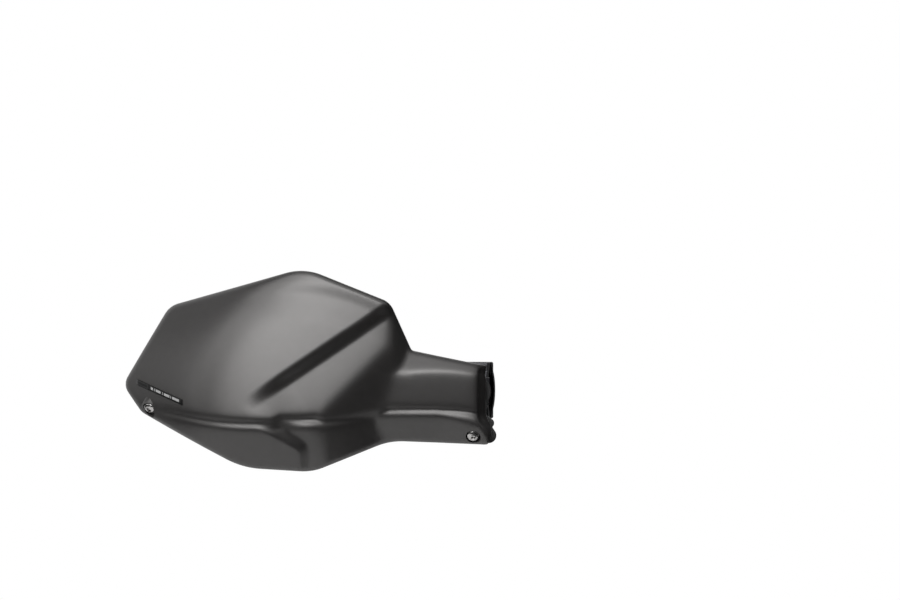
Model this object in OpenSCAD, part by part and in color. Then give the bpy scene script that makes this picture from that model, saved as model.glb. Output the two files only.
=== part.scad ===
// Motorcycle hand guard for the right-hand side: a moulded shell held by a cast
// arm at the handlebar clamp and by a cast bracket at the bar end.
// The origin is the middle of the clamp's bore. X runs along the handlebar
// towards the middle of the bike, Y points rearward and Z points up.

/* [Guard shell] */
// Reach of the shell from the clamp to its outer tip
guard_reach = 254; // [225:1:285]
// Height of the shell from its lowest to its highest point
guard_height = 147; // [125:1:170]
// How far the crown of the shell stands in front of the handlebar
guard_depth = 83; // [76:1:95]
// Wall thickness of the shell
wall = 3; // [2.4:0.1:3.6]
// Radius of the rounded edge all round the shell
edge_r = 5; // [4:0.5:6.5]
// How far the rim turns back along the top and bottom
rim_depth = 12; // [8:1:16]
// How far the rim turns back round the outer tip
tip_rim_depth = 24; // [16:1:30]
// Angle between the shell and the handlebar
shell_yaw = 12; // [9:0.5:15]
// Height of the stiffening ribs inside the shell
rib_h = 4; // [2:0.5:5]
// Width of a stiffening rib
rib_w = 2.4; // [1.8:0.2:3]

/* [Handlebar] */
// Outside diameter of the handlebar
bar_d = 22.2; // [22:0.1:22.6]
// Bore of the handlebar at its open end
bar_bore_d = 16; // [15:0.5:17]
// Distance from the clamp to the end of the handlebar
bar_end_x = 222; // [210:1:232]

/* [Clamp] */
// Width of the clamp along the handlebar
clamp_w = 22; // [18:1:26]
// Wall of the clamp round the handlebar
clamp_wall = 6; // [5:0.5:8]
// Gap between the two clamp halves
clamp_gap = 1.6; // [1:0.2:2.4]
// Diameter of the clamp screws
clamp_screw_d = 5; // [4:0.5:6]
// Width and height of the lug
lug_size = 20; // [18:1:24]

/* [Arm and bracket] */
// Thickness of the inner arm's plate
arm_t = 5; // [4:0.5:7]
// Room between the wall of the shell's neck and the arm's plate
arm_room = 21; // [19:0.5:23]
// Diameter of the bolt that holds the arm to the clamp
arm_bolt_d = 6; // [5:0.5:8]
// Thickness of the outer bracket where it meets the bar end
bracket_t = 5; // [4:0.5:7]
// Diameter of the cast bosses that take the shell screws
boss_d = 14; // [12.5:0.5:16]

/* [Shell screws] */
// Diameter of the shell screws
screw_d = 5; // [4:0.5:6]
// Length of a shell screw under its head
screw_l = 14; // [12:1:18]
// Diameter of the button heads
head_d = 9.5; // [8.5:0.5:10]
// Height of the button heads
head_h = 2.75; // [2:0.25:3.5]
// Gap between the head and the wall of its recess
head_gap = 0.65; // [0.4:0.05:1]
// Depth of the recess in the shell
recess_depth = 4.4; // [4:0.2:6]
// Thickness of the flange on each bush and grommet
flange_t = 1; // [0.6:0.1:1.4]

/* [Bar end] */
// Diameter of the bar end weight
weight_d = 28; // [24:1:34]
// Length of the bar end weight
weight_l = 20; // [18:1:30]
// Diameter of the bolt through the bar end
end_bolt_d = 6; // [5:0.5:8]
// Length of the rubber expander sleeve
sleeve_l = 24; // [18:1:32]
// Length of the threaded wedge
wedge_l = 9; // [7:1:12]

/* [Side badge] */
// Length of the plain badge strip
badge_l = 37; // [28:1:44]
// Height of the badge strip
badge_h = 4.4; // [3:0.2:6]
// Thickness of the badge strip
badge_t = 0.7; // [0.5:0.1:1]

/* [Hidden] */

// Fits and small clearances
slip = 0.1;
run_gap = 0.3;
thread_gap = 0.05;
shank_gap = 0.3;
part_fn = 64;

// The form is drawn for a shell of these sizes and stretched to the sizes above
form_reach = 254;
form_height = 147;
form_depth = 83;
stretch_u = guard_reach / form_reach;
stretch_z = guard_height / form_height;
stretch_w = guard_depth / form_depth;

// Corners of the outline seen from the front: across, up, and corner radius
tip_corner = [-256.2, 4, 10];
upper_corners = [[-222.5, 61, 16], [-124, 89.3, 40], [-62, 64.5, 14], [-46.5, 29.6, 3], [9, 18.4, 3]];
lower_corners = [[-242, -15.5, 12], [-168, -54.5, 60], [-118, -57.6, 34], [-62, -35.6, 50], [8.8, -38.3, 3]];
end_upper = [11.2, 8];
end_lower = [11.2, -31];

// Places of the shell screws, and how their axes turn and tilt
inner_screw_u = -2;
inner_screw_z = -32.6;
inner_screw_turn = 0;
inner_screw_tilt = 36;
outer_screw_u = -236.2;
outer_screw_z = -13.6;
outer_screw_turn = -34;
outer_screw_tilt = 43;

// Centre and slope of the badge on the outer face
badge_u = -228.5;
badge_z = -0.5;
badge_slope = -22;

// Places across the shell of the ribs on its inside
rib_columns = [-205, -160, -115];

function ramp(d, r) = (d + sqrt(d * d + r * r)) / 2;
function ease_unit(t) = t * t * (3 - 2 * t);
function ease(a, b, x) = ease_unit(min(1, max(0, (x - a) / (b - a))));
function blend(a, b, t) = a + (b - a) * t;
function deeper(a, b, r) = b + ramp(a - b, r);
function nearer(a, b, r) = a + b - deeper(a, b, r);
function bell(d, r) = exp(-(d / r) * (d / r));
function sq(x) = x * x;
// Distance to the lower right of a line through p at the angle a
function beside(u, z, p, a) = (u - p[0]) * sin(a) - (z - p[1]) * cos(a);
function along(u, z, p, a) = (u - p[0]) * cos(a) + (z - p[1]) * sin(a);

// Height of the crease between the faces above and the skirt below
function skirt_line(u) = -22.5 + 0.0021 * sq(ramp(-u - 165, 25)) + 6 * ease(-112, -62, u)
    - 6 * ease(-30, 0, u) - 0.9 * ramp(u - 1, 3);
function crease(u) = skirt_line(u) + 3 * ease(-148, -138, u) + 3.8 * ease(-28, -4, u) * (1 - 0.6 * ease(2, 9, u));

// Crown of the shell, with its turned-back outer face and the shallow band below its top edge
crown_lean = 0.2;
outer_face_slope = 1.2;
band_depth = 1.3;
function outer_bend(z) = -203 + 0.0072 * sq(z + 6);
function band_line(u) = 73 - 0.0045 * sq(u + 128);
function crown(u, z) = -form_depth + crown_lean * (z + 22) + 0.0006 * sq(z + 10) + 0.0007 * sq(u + 125)
    + outer_face_slope * ramp(outer_bend(z) - u, 22)
    + band_depth * bell(z - band_line(u), 8) * ease(-185, -150, u);

// The slanted groove is a step down to the lower right, and the valley runs on below the crease
groove_point = [-118, 24];
groove_angle = 33.8;
groove_depth = 7;
valley_point = [-138, -31];
valley_angle = -29;
valley_slope = 0.85;
valley_half_width = 3.5;
function groove_step(u, z) = groove_depth * ease(-5, 7, beside(u, z, groove_point, groove_angle))
    * ease(-62, -20, along(u, z, groove_point, groove_angle));
function valley_across(u, z) = deeper(-beside(u, z, valley_point, valley_angle), u + 123, 3);
function valley_step(u, z) = valley_slope
    * (ramp(valley_across(u, z) + valley_half_width, 1) - ramp(valley_across(u, z) - valley_half_width, 1));

// Dark faces on the inner side of the shell, which fall back towards the neck
far_point = [-90.4, 6.1];
function far_side(u, z) = deeper(0.6 * ramp(beside(u, z, far_point, 45), 5), 1.45 * ramp(u + 62, 5), 4);
function facet_side(u) = 0.5 * ramp(u + 115, 2.5);

// The faces above roll into the crease and a lip stands below it; both fade out across the dark face
function roll(u) = ease(-245, -215, u) * (1 - ease(-116, -108, u)) + 0.8 * ease(-70, -62, u);
function lip(u) = ease(-212, -180, u) * (1 - ease(-124, -113, u)) + 0.2 * ease(-70, -62, u);
function skirt_fall(u) = 0.66 - 0.28 * ease(-125, -105, u);
function upper_body(u, z) = crown(u, z) + groove_step(u, z) + far_side(u, z);
function skirt_body(u, z) = crown(u, crease(u))
    + blend(groove_step(u, crease(u)), valley_step(u, z), ease(0, 5, crease(u) - z))
    - 0.8 * lip(u) + skirt_fall(u) * ramp(skirt_line(u) - 3 - z, 3) + deeper(far_side(u, crease(u)), facet_side(u), 2);

// The neck is the narrow part in front of the clamp
neck_front = -55;
neck_start = -74;
neck_low_slope = 0.72;
end_wall_slope = 1.35;
function neck_end(u, z) = end_wall_slope * ramp(u - 2 - 0.45 * ramp(-20 - z, 3), 3);
function neck_top(u, z) = neck_front - 0.05 * z + ramp(z - (15.5 - 0.0028 * sq(u + 30)), 3)
    + neck_end(u, z) + 1.2 * ramp(neck_start - u, 5);
function neck_low(u, z) = neck_front - 0.8 + neck_low_slope * ramp(skirt_line(u) - z, 3)
    + neck_end(u, z) + 1.2 * ramp(neck_start + 2 - u, 5);

// Depth of the front surface behind the front-most plane; fine = 0 leaves out the crease's lip
function above_crease(u, z, fine) = nearer(upper_body(u, z), neck_top(u, z), 3)
    + fine * (0.5 + 0.5 * roll(u)) * ramp(crease(u) + 1.5 + 1.7 * roll(u) - z, 2.5);
function below_crease(u, z, fine) = nearer(skirt_body(u, z), neck_low(u, z), 3)
    + fine * ((0.5 + 0.5 * lip(u)) * ramp(z - crease(u) + 3, 2.4) + 1.2 * ramp(z - crease(u) - 4, 3));
function form(u, z, fine) = fine == 1
    ? nearer(above_crease(u, z, 1), below_crease(u, z, 1), 1.6)
    : blend(below_crease(u, z, 0), above_crease(u, z, 0), ease(-8, 2, z - crease(u)));

// The same form at the sizes asked for
function skin(u, z) = stretch_w * form(u / stretch_u, z / stretch_z, 1);
function soft_skin(u, z) = stretch_w * form(u / stretch_u, z / stretch_z, 0);
function slope_u(u, z) = soft_skin(u + 0.5, z) - soft_skin(u - 0.5, z);
function slope_z(u, z) = soft_skin(u, z + 0.5) - soft_skin(u, z - 0.5);
function inner_skin(u, z) = max(soft_skin(u, z) + wall * sqrt(1 + sq(slope_u(u, z)) + sq(slope_z(u, z))),
    skin(u, z) + wall);

// One rounded corner b between a and c, as points along an arc
function unit(v) = v / norm(v);
function corner_points(a, b, c, r, n) =
    let (
        p = [b[0], b[1]],
        d1 = unit([a[0], a[1]] - p),
        d2 = unit([c[0], c[1]] - p),
        half = acos(d1 * d2) / 2,
        reach = r / tan(half),
        middle = p + unit(d1 + d2) * r / sin(half),
        start = p + d1 * reach - middle,
        finish = p + d2 * reach - middle
    )
    [for (i = [0 : n]) middle + r * unit(start * (n - i) + finish * i)];
function stretched(p) = [p[0] * stretch_u, p[1] * stretch_z];
function edge_line(corners) = [
    for (i = [1 : len(corners) - 2])
        for (q = corner_points(corners[i - 1], corners[i], corners[i + 1], corners[i][2], 5))
            stretched(q)
];
function tip_arc() = corner_points(lower_corners[0], tip_corner, upper_corners[0], tip_corner[2], 12);
function tip_half(side) = [for (q = tip_arc()) if (side * (q[1] - tip_middle_z) >= 0) stretched(q)];
tip_middle_z = tip_arc()[6][1];
tip_u = stretched(tip_arc()[6])[0];
function reversed(list) = [for (i = [len(list) - 1 : -1 : 0]) list[i]];
upper_edge = concat(tip_half(1), edge_line(concat([tip_corner], upper_corners, [end_upper])),
    [stretched(end_upper)]);
lower_edge = concat(reversed(tip_half(-1)), edge_line(concat([tip_corner], lower_corners, [end_lower])),
    [stretched(end_lower)]);
end_u = stretched(end_upper)[0];
function top_at(u) = lookup(u, upper_edge);
function bottom_at(u) = lookup(u, lower_edge);

// Columns of the shell's mesh from the tip to the clamp end, closer where the surface turns
function spread(a, b, n) = [for (i = [0 : n - 1]) a + (b - a) * i / n];
function near_rib(u) = [u - rib_w / 2 - 0.15, u - rib_w / 2, u + rib_w / 2, u + rib_w / 2 + 0.15];
columns = concat(
    [tip_u + 0.4, tip_u + 1.6, tip_u + 3.4],
    spread(tip_u + 6, rib_columns[0] * stretch_u - rib_w, 8), near_rib(rib_columns[0] * stretch_u),
    spread(rib_columns[0] * stretch_u + rib_w + 2, rib_columns[1] * stretch_u - rib_w, 8),
    near_rib(rib_columns[1] * stretch_u),
    spread(rib_columns[1] * stretch_u + rib_w + 2, rib_columns[2] * stretch_u - rib_w, 9),
    near_rib(rib_columns[2] * stretch_u),
    spread(rib_columns[2] * stretch_u + rib_w + 2, -68 * stretch_u, 8),
    spread(-68 * stretch_u, -42 * stretch_u, 6),
    spread(-42 * stretch_u, -2 * stretch_u, 6),
    spread(-2 * stretch_u, end_u - 2.4, 5),
    [end_u - 2.4, end_u - 0.9, end_u]
);
column_count = len(columns);

// Rows of the mesh in one column: the rounded edge, the skirt, the crease and the faces above it
edge_steps = [0, 0.1, 0.35, 0.8];
crease_steps = [-4.5, -3, 0, 3.5];
low_rows = 3;
high_rows = 13;
function row_heights(u, inset) =
    let (
        b = bottom_at(u) + inset,
        t = top_at(u) - inset,
        h = t - b,
        edge = min(edge_r, h * 0.16),
        line = crease(min(-2, u / stretch_u)) * stretch_z,
        c0 = max(line + crease_steps[0], b + h * 0.26),
        c3 = c0 + min(crease_steps[3] - crease_steps[0], h * 0.2),
        first = b + edge,
        last = t - edge
    )
    concat(
        [for (s = edge_steps) b + edge * s],
        spread(first, c0, low_rows),
        [for (s = crease_steps) c0 + (c3 - c0) * (s - crease_steps[0]) / (crease_steps[3] - crease_steps[0])],
        [for (i = [1 : high_rows]) c3 + (last - c3) * i / (high_rows + 1)],
        [for (i = [len(edge_steps) - 1 : -1 : 0]) t - edge * edge_steps[i]]
    );
row_count = 2 * len(edge_steps) + low_rows + len(crease_steps) + high_rows;

// How far a point stands behind the skin where the edge is rounded
function edge_gap(u, z) = min((z - bottom_at(u)) * 0.9, (top_at(u) - z) * 0.9, end_u - u);
function edge_drop(gap, r) = gap >= r ? 0 : r - sqrt(max(0, r * r - sq(r - max(0, gap))));
function rim_at(u) = blend(rim_depth, tip_rim_depth, ease(-195, -245, u / stretch_u))
    - (rim_depth - 5) * ease(-50, -30, u / stretch_u) - 3 * ease(0, 10, u / stretch_u);

// Outer surface, inner surface and rim of the shell as one closed mesh; the neck's end is drawn in at half height
end_pull = 3.8;
inner_end_pull = 2.5;
function is_rib_column(i) = len([for (r = rib_columns) if (abs(columns[i] - r * stretch_u) < rib_w / 2 + 0.05) 1]) > 0;
function rib_fade(z, b, t) = ease(0, 10, z - b) * ease(0, 10, t - z);
function drawn_in(u, z, most) = most * ease(0, end_u / stretch_u - 4, u / stretch_u)
    * ease(-27, -15, z / stretch_z) * ease(20, 13, z / stretch_z);
function outer_point(i, z) = [columns[i] - drawn_in(columns[i], z, end_pull), skin(columns[i], z) + edge_drop(edge_gap(columns[i], z), edge_r), z];
function inner_u(i) = max(tip_u + wall + 0.4, min(end_u - wall, columns[i]))
    - (i < 3 ? (2 - i) * 0.15 : 0) + (i > column_count - 4 ? (i - column_count + 3) * 0.05 : 0);
function inner_row(i) =
    let (
        u = inner_u(i),
        zs = row_heights(u, wall)
    )
    [for (j = [0 : row_count - 1])
        let (
            z = zs[j],
            gap = min((z - zs[0]) * 0.9, (zs[row_count - 1] - z) * 0.9, end_u - wall - u),
            r = max(0.5, edge_r - wall),
            rib = is_rib_column(i) ? rib_h * rib_fade(z, zs[0], zs[row_count - 1]) : 0
        )
        [u - drawn_in(u, z, inner_end_pull), inner_skin(u, z) + edge_drop(gap, r) + rib, z]];
function outer_row(i) = [for (z = row_heights(columns[i], 0)) outer_point(i, z)];

// The points all round the border of a grid, counter-clockwise from the lower outer corner
function border(m, n) = concat(
    [for (i = [0 : m - 1]) i * n],
    [for (j = [1 : n - 1]) (m - 1) * n + j],
    [for (i = [m - 2 : -1 : 0]) i * n + n - 1],
    [for (j = [n - 2 : -1 : 1]) j]
);
function grid_faces(m, n, start, flip) = [
    for (i = [0 : m - 2]) for (j = [0 : n - 2])
        let (
            a = start + i * n + j,
            b = a + n,
            q = [a, b, b + 1, a + 1]
        )
        for (t = [[q[0], q[1], q[2]], [q[0], q[2], q[3]]])
            flip ? [t[0], t[2], t[1]] : t
];
function band_faces(ring_a, ring_b) = [
    for (k = [0 : len(ring_a) - 1])
        let (next = (k + 1) % len(ring_a))
        for (t = [[ring_a[k], ring_b[k], ring_b[next]], [ring_a[k], ring_b[next], ring_a[next]]])
            t
];

module shell_mesh() {
    outer = [for (i = [0 : column_count - 1]) each outer_row(i)];
    inner = [for (i = [0 : column_count - 1]) each inner_row(i)];
    loop = border(column_count, row_count);
    rear_of = [for (k = loop) let (p = outer[k]) [p[0], p[1] + rim_at(p[0]), p[2]]];
    inner_rear = [for (i = [0 : len(loop) - 1]) [inner[loop[i]][0], rear_of[i][1], inner[loop[i]][2]]];
    size = column_count * row_count;
    edge = len(loop);
    inner_loop = [for (k = loop) k + size];
    rear_loop = [for (k = [0 : edge - 1]) 2 * size + k];
    inner_rear_loop = [for (k = [0 : edge - 1]) 2 * size + edge + k];
    polyhedron(
        points = concat(outer, inner, rear_of, inner_rear),
        faces = concat(
            grid_faces(column_count, row_count, 0, true),
            grid_faces(column_count, row_count, size, false),
            band_faces(rear_loop, loop),
            band_faces(inner_rear_loop, rear_loop),
            band_faces(inner_loop, inner_rear_loop)
        ),
        convexity = 8
    );
}

// Points where the shell screws cross the skin
inner_screw_point = [inner_screw_u * stretch_u, skin(inner_screw_u * stretch_u, inner_screw_z * stretch_z),
    inner_screw_z * stretch_z];
outer_screw_point = [outer_screw_u * stretch_u, skin(outer_screw_u * stretch_u, outer_screw_z * stretch_z)
    + edge_drop(edge_gap(outer_screw_u * stretch_u, outer_screw_z * stretch_z), edge_r),
    outer_screw_z * stretch_z];

// The shell's own frame, turned away from the handlebar
module shell_frame() rotate([0, 0, shell_yaw]) children();
// A screw's frame: its axis is Z, pointing inward from the skin
module screw_frame(p, turn, tilt) shell_frame() translate(p) rotate([0, 0, turn]) rotate([tilt - 90, 0, 0]) children();
module inner_screw_frame() screw_frame(inner_screw_point, inner_screw_turn, inner_screw_tilt) children();
module outer_screw_frame() screw_frame(outer_screw_point, outer_screw_turn, outer_screw_tilt) children();
module disc(d, from, to) translate([0, 0, from]) cylinder(d = d, h = to - from, $fn = part_fn);

// Stack along a shell screw, measured inward from the skin
floor_in = recess_depth + wall;
bush_d = screw_d + 2 * slip + 1.6;
neck_d = bush_d + 2 * slip + 1.8;
recess_d = head_d + 2 * head_gap;
grommet_head_d = recess_d - 2 * slip;
grommet_in_d = boss_d;
bush_top = recess_depth - 2 * flange_t;
boss_face = floor_in + flange_t;
shell_boss_d = recess_d + 2.6;

module shell_boss() disc(shell_boss_d, 1.2, floor_in);
module shell_bore() {
    disc(recess_d, -recess_d, recess_depth);
    disc(neck_d + 2 * slip, recess_depth - 1, floor_in + 1);
    disc(grommet_in_d + 2 * run_gap, floor_in, floor_in + recess_d);
}
module guard_shell() {
    color("#3b3a3c")
    difference() {
        union() {
            shell_frame() shell_mesh();
            inner_screw_frame() shell_boss();
            outer_screw_frame() shell_boss();
        }
        inner_screw_frame() shell_bore();
        outer_screw_frame() shell_bore();
    }
}

// Badge strip that follows the outer face, one seat gap in front of it
badge_seat = 0.15;
badge_cuts = 9;
function badge_point(s, t, lift) =
    let (
        along_u = s * badge_l * cos(badge_slope),
        along_z = s * badge_l * sin(badge_slope),
        u = badge_u * stretch_u + along_u,
        z = badge_z * stretch_z + along_z + t * badge_h
    )
    [u, skin(u, z) - lift * sqrt(1 + sq(slope_u(u, z)) + sq(slope_z(u, z))), z];
module side_badge() {
    seat = badge_seat;
    face = badge_seat + badge_t;
    points = [for (lift = [seat, face]) for (t = [-0.5, 0.5]) for (i = [0 : badge_cuts])
        badge_point(i / badge_cuts - 0.5, t, lift)];
    n = badge_cuts + 1;
    strip = [for (i = [0 : badge_cuts - 1]) for (q = [[0, 1], [1, 3], [3, 2], [2, 0]])
        let (a = q[0] * n + i, b = q[1] * n + i) for (f = [[a, a + 1, b + 1], [a, b + 1, b]]) f];
    caps = [[0, n, 2 * n], [n, 3 * n, 2 * n], [n - 1, 3 * n - 1, 2 * n - 1], [2 * n - 1, 3 * n - 1, 4 * n - 1]];
    color("#1c1c1e")
    shell_frame() polyhedron(points = points, faces = concat(strip, caps));
}

// Screw, bush and grommet of one fixing, drawn along its axis
module button_screw() {
    color("#b9bbbd")
    difference() {
        union() {
            disc(screw_d, bush_top, bush_top + screw_l);
            translate([0, 0, bush_top - head_h])
                cylinder(d1 = head_d * 0.62, d2 = head_d, h = head_h * 0.72, $fn = part_fn);
            disc(head_d, bush_top - head_h * 0.29, bush_top);
        }
        translate([0, 0, bush_top - head_h - 1]) cylinder(d = screw_d * 0.68, h = head_h * 0.6 + 1, $fn = 6);
    }
}
module bush() {
    color("#9a9ca0")
    difference() {
        union() {
            disc(head_d, bush_top, bush_top + flange_t);
            disc(bush_d, bush_top, boss_face);
        }
        disc(screw_d + 2 * slip, bush_top - 1, boss_face + 1);
    }
}
module grommet() {
    color("#202022")
    difference() {
        union() {
            disc(grommet_head_d, recess_depth - flange_t, recess_depth);
            disc(neck_d, recess_depth - flange_t, boss_face);
            disc(grommet_in_d, floor_in, boss_face);
        }
        disc(bush_d + 2 * slip, bush_top - 1, boss_face + 1);
    }
}
module inner_shell_screw() inner_screw_frame() button_screw();
module inner_bush() inner_screw_frame() bush();
module inner_grommet() inner_screw_frame() grommet();
module outer_shell_screw() outer_screw_frame() button_screw();
module outer_bush() outer_screw_frame() bush();
module outer_grommet() outer_screw_frame() grommet();
module screw_hole() disc(screw_d + 2 * thread_gap, boss_face - 1, bush_top + screw_l + 1.5);

// Inner arm: a cast plate on the clamp's lug with a boss that reaches the shell
// Distance from the handlebar's axis to the lug's face, which carries the arm
lug_reach = -neck_front * stretch_w - wall - arm_room - arm_t;
arm_pad_r = 11;
arm_foot_r = 8.5;
lobe_web_r = 6;
small_lobe_rise = 9;
arm_foot_u = inner_screw_point[0];
arm_boss_end = (-lug_reach - inner_screw_point[1]) / cos(inner_screw_tilt);
arm_foot_z = inner_screw_point[2] + arm_boss_end * sin(inner_screw_tilt);
lobe_r = 5.5;
lobe_u = end_u + 3.6 - lobe_r;
lobe_z = stretch_z * -32;
small_lobe_r = 3.4;
module arm_outline() {
    hull() {
        circle(arm_pad_r, $fn = 48);
        translate([arm_foot_u, arm_foot_z]) circle(arm_foot_r, $fn = 32);
    }
    hull() {
        translate([arm_foot_u, arm_foot_z]) circle(lobe_web_r, $fn = 32);
        translate([lobe_u, lobe_z]) circle(lobe_r, $fn = 32);
    }
    hull() {
        translate([arm_foot_u, arm_foot_z + 2]) circle(small_lobe_r, $fn = 24);
        translate([end_u + 2 - small_lobe_r, lobe_z + small_lobe_rise]) circle(small_lobe_r, $fn = 24);
    }
}
module inner_arm() {
    color("#232325")
    difference() {
        union() {
            shell_frame() translate([0, -lug_reach, 0]) rotate([90, 0, 0]) linear_extrude(arm_t) arm_outline();
            intersection() {
                inner_screw_frame() disc(boss_d, boss_face, arm_boss_end + boss_d);
                shell_frame() translate([-boss_d, -guard_depth, -guard_height])
                    cube([2 * boss_d, guard_depth - lug_reach, guard_height]);
            }
        }
        inner_screw_frame() screw_hole();
        shell_frame() rotate([90, 0, 0]) disc(arm_bolt_d + 2 * shank_gap, lug_reach - 1, lug_reach + arm_t + 1);
    }
}

// Bolt and washer that hold the arm to the clamp's lug
washer_t = 1.2;
module arm_axis() shell_frame() rotate([90, 0, 0]) children();
module socket_bolt(d, length, head_dia, head_len) {
    difference() {
        union() {
            disc(d, -length, 0);
            disc(head_dia, 0, head_len);
        }
        translate([0, 0, head_len * 0.45]) cylinder(d = d * 0.95, h = head_len, $fn = 6);
    }
}
arm_bolt_in = 0.6 * (lug_reach - bar_d / 2);
module arm_bolt() {
    color("#a9abae")
    arm_axis() translate([0, 0, lug_reach + arm_t + washer_t])
        socket_bolt(arm_bolt_d, arm_t + washer_t + arm_bolt_in, arm_bolt_d * 1.65, arm_bolt_d);
}
module ring(outer, inner, from, to) difference() {
    disc(outer, from, to);
    disc(inner, from - 1, to + 1);
}
module arm_washer() {
    color("#8e9094")
    arm_axis() ring(arm_bolt_d * 2, arm_bolt_d + 2 * shank_gap, lug_reach + arm_t, lug_reach + arm_t + washer_t);
}

// Clamp: two halves round the handlebar, the front one with the lug for the arm
clamp_r = bar_d / 2 + clamp_wall;
clamp_screw_z = bar_d / 2 + clamp_screw_d / 2 + 2;
ear_h = clamp_screw_z + clamp_screw_d / 2 + 2.4;
ear_d = 10;
clamp_thread = 11;
lug_root = 2.5;
clamp_washer_t = 1;
module along_bar() rotate([0, 90, 0]) children();
module clamp_body(side) {
    difference() {
        union() {
            along_bar() disc(2 * clamp_r, -clamp_w / 2, clamp_w / 2);
            translate([-clamp_w / 2, -ear_d, -ear_h]) cube([clamp_w, 2 * ear_d, 2 * ear_h]);
        }
        along_bar() disc(bar_d, -clamp_w, clamp_w);
        translate([-clamp_w, side > 0 ? -3 * clamp_r + clamp_gap / 2 : -clamp_gap / 2, -2 * ear_h])
            cube([2 * clamp_w, 3 * clamp_r, 4 * ear_h]);
    }
}
module clamp_hole(d, from, to) for (s = [-1, 1])
    translate([0, 0, s * clamp_screw_z]) rotate([-90, 0, 0]) disc(d, from, to);
module clamp_front() {
    color("#2b2b2d")
    difference() {
        union() {
            clamp_body(-1);
            difference() {
                shell_frame() translate([-lug_size / 2, -lug_reach, -lug_size / 2])
                    cube([lug_size, lug_reach - bar_d / 2, lug_size]);
                along_bar() disc(2 * clamp_r - 2 * lug_root, -clamp_w, clamp_w);
            }
        }
        clamp_hole(clamp_screw_d + 2 * thread_gap, -clamp_thread, 1);
        arm_axis() disc(arm_bolt_d + 2 * thread_gap, lug_reach - arm_bolt_in - 1, lug_reach + 1);
    }
}
module clamp_rear() {
    color("#2b2b2d")
    difference() {
        clamp_body(1);
        clamp_hole(clamp_screw_d + 2 * shank_gap, -1, ear_d + 1);
        clamp_hole(clamp_screw_d * 1.8 + 2 * run_gap, ear_d, ear_d + 2 * clamp_r);
    }
}
module clamp_screw(s) {
    color("#a9abae")
    translate([0, ear_d + clamp_washer_t, s * clamp_screw_z]) rotate([-90, 0, 0])
        socket_bolt(clamp_screw_d, ear_d + clamp_washer_t + clamp_thread - 1.5, clamp_screw_d * 1.7, clamp_screw_d);
}
module clamp_washer(s) {
    color("#8e9094")
    translate([0, 0, s * clamp_screw_z]) rotate([-90, 0, 0])
        ring(clamp_screw_d * 1.8, clamp_screw_d + 2 * shank_gap, ear_d, ear_d + clamp_washer_t);
}
module clamp_screw_upper() clamp_screw(1);
module clamp_screw_lower() clamp_screw(-1);
module clamp_washer_upper() clamp_washer(1);
module clamp_washer_lower() clamp_washer(-1);

// Outer bracket: a cast arm from the bar end to the shell's outer screw
bracket_r = 12.5;
bracket_boss_l = 13;
seat_cut = 0.4;
module bracket_boss(from) outer_screw_frame() disc(boss_d, from, boss_face + bracket_boss_l);
module outer_bracket() {
    color("#232325")
    difference() {
        union() {
            hull() {
                translate([-bar_end_x, 0, 0]) along_bar() disc(2 * bracket_r, -bracket_t - seat_cut, seat_cut);
                outer_screw_frame() disc(boss_d - 2, boss_face + 5, boss_face + bracket_boss_l - 1);
            }
            bracket_boss(boss_face);
        }
        translate([-bar_end_x, 0, 0]) along_bar() {
            disc(end_bolt_d + 2 * shank_gap, -bracket_t - 1, 1);
            disc(bar_d + 1.6, 0, 30);
            disc(weight_d + 1, -bracket_t - 30, -bracket_t);
        }
        outer_screw_frame() screw_hole();
    }
}

// Bar end: weight, washer and bolt outside, and the expander inside the handlebar's bore
end_head_d = end_bolt_d * 1.65;
counter_depth = end_bolt_d + washer_t + 1.6;
module bar_end_frame() translate([-bar_end_x, 0, 0]) rotate([0, -90, 0]) children();
module bar_end_weight() {
    color("#2a2a2c")
    bar_end_frame() difference() {
        union() {
            disc(weight_d, bracket_t, bracket_t + weight_l - 2);
            translate([0, 0, bracket_t + weight_l - 2])
                cylinder(d1 = weight_d, d2 = weight_d - 4, h = 2, $fn = part_fn);
        }
        disc(end_bolt_d + 2 * shank_gap, bracket_t - 1, bracket_t + weight_l + 1);
        disc(end_head_d + 1.6, bracket_t + weight_l - counter_depth, bracket_t + weight_l + 1);
        translate([0, 0, bracket_t + weight_l * 0.34])
            rotate_extrude($fn = part_fn) translate([weight_d / 2, 0]) circle(0.8, $fn = 24);
    }
}
end_seat = bracket_t + weight_l - counter_depth;
module bar_end_washer() {
    color("#8e9094")
    bar_end_frame() ring(end_head_d + 1, end_bolt_d + 2 * shank_gap, end_seat, end_seat + washer_t);
}
expander_d = bar_bore_d - 0.4;
sleeve_start = washer_t;
sleeve_end = sleeve_start + sleeve_l;
module bar_end_bolt() {
    color("#a9abae")
    bar_end_frame() translate([0, 0, end_seat + washer_t])
        socket_bolt(end_bolt_d, end_seat + washer_t + sleeve_end + wedge_l + 1.5, end_head_d, end_bolt_d);
}
module expander_washer() {
    color("#8e9094")
    bar_end_frame() ring(expander_d - 1, end_bolt_d + 2 * shank_gap, -sleeve_start, 0);
}
module expander_sleeve() {
    color("#1d1d1f")
    bar_end_frame() ring(expander_d, end_bolt_d + 2 * shank_gap, -sleeve_end, -sleeve_start);
}
module expander_wedge() {
    color("#9a9ca0")
    bar_end_frame() difference() {
        union() {
            disc(expander_d - 0.6, -sleeve_end - wedge_l + 3, -sleeve_end);
            translate([0, 0, -sleeve_end - wedge_l])
                cylinder(d1 = expander_d - 4, d2 = expander_d - 0.6, h = 3, $fn = part_fn);
        }
        disc(end_bolt_d + 2 * thread_gap, -sleeve_end - wedge_l - 1, -sleeve_end + 1);
    }
}

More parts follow.
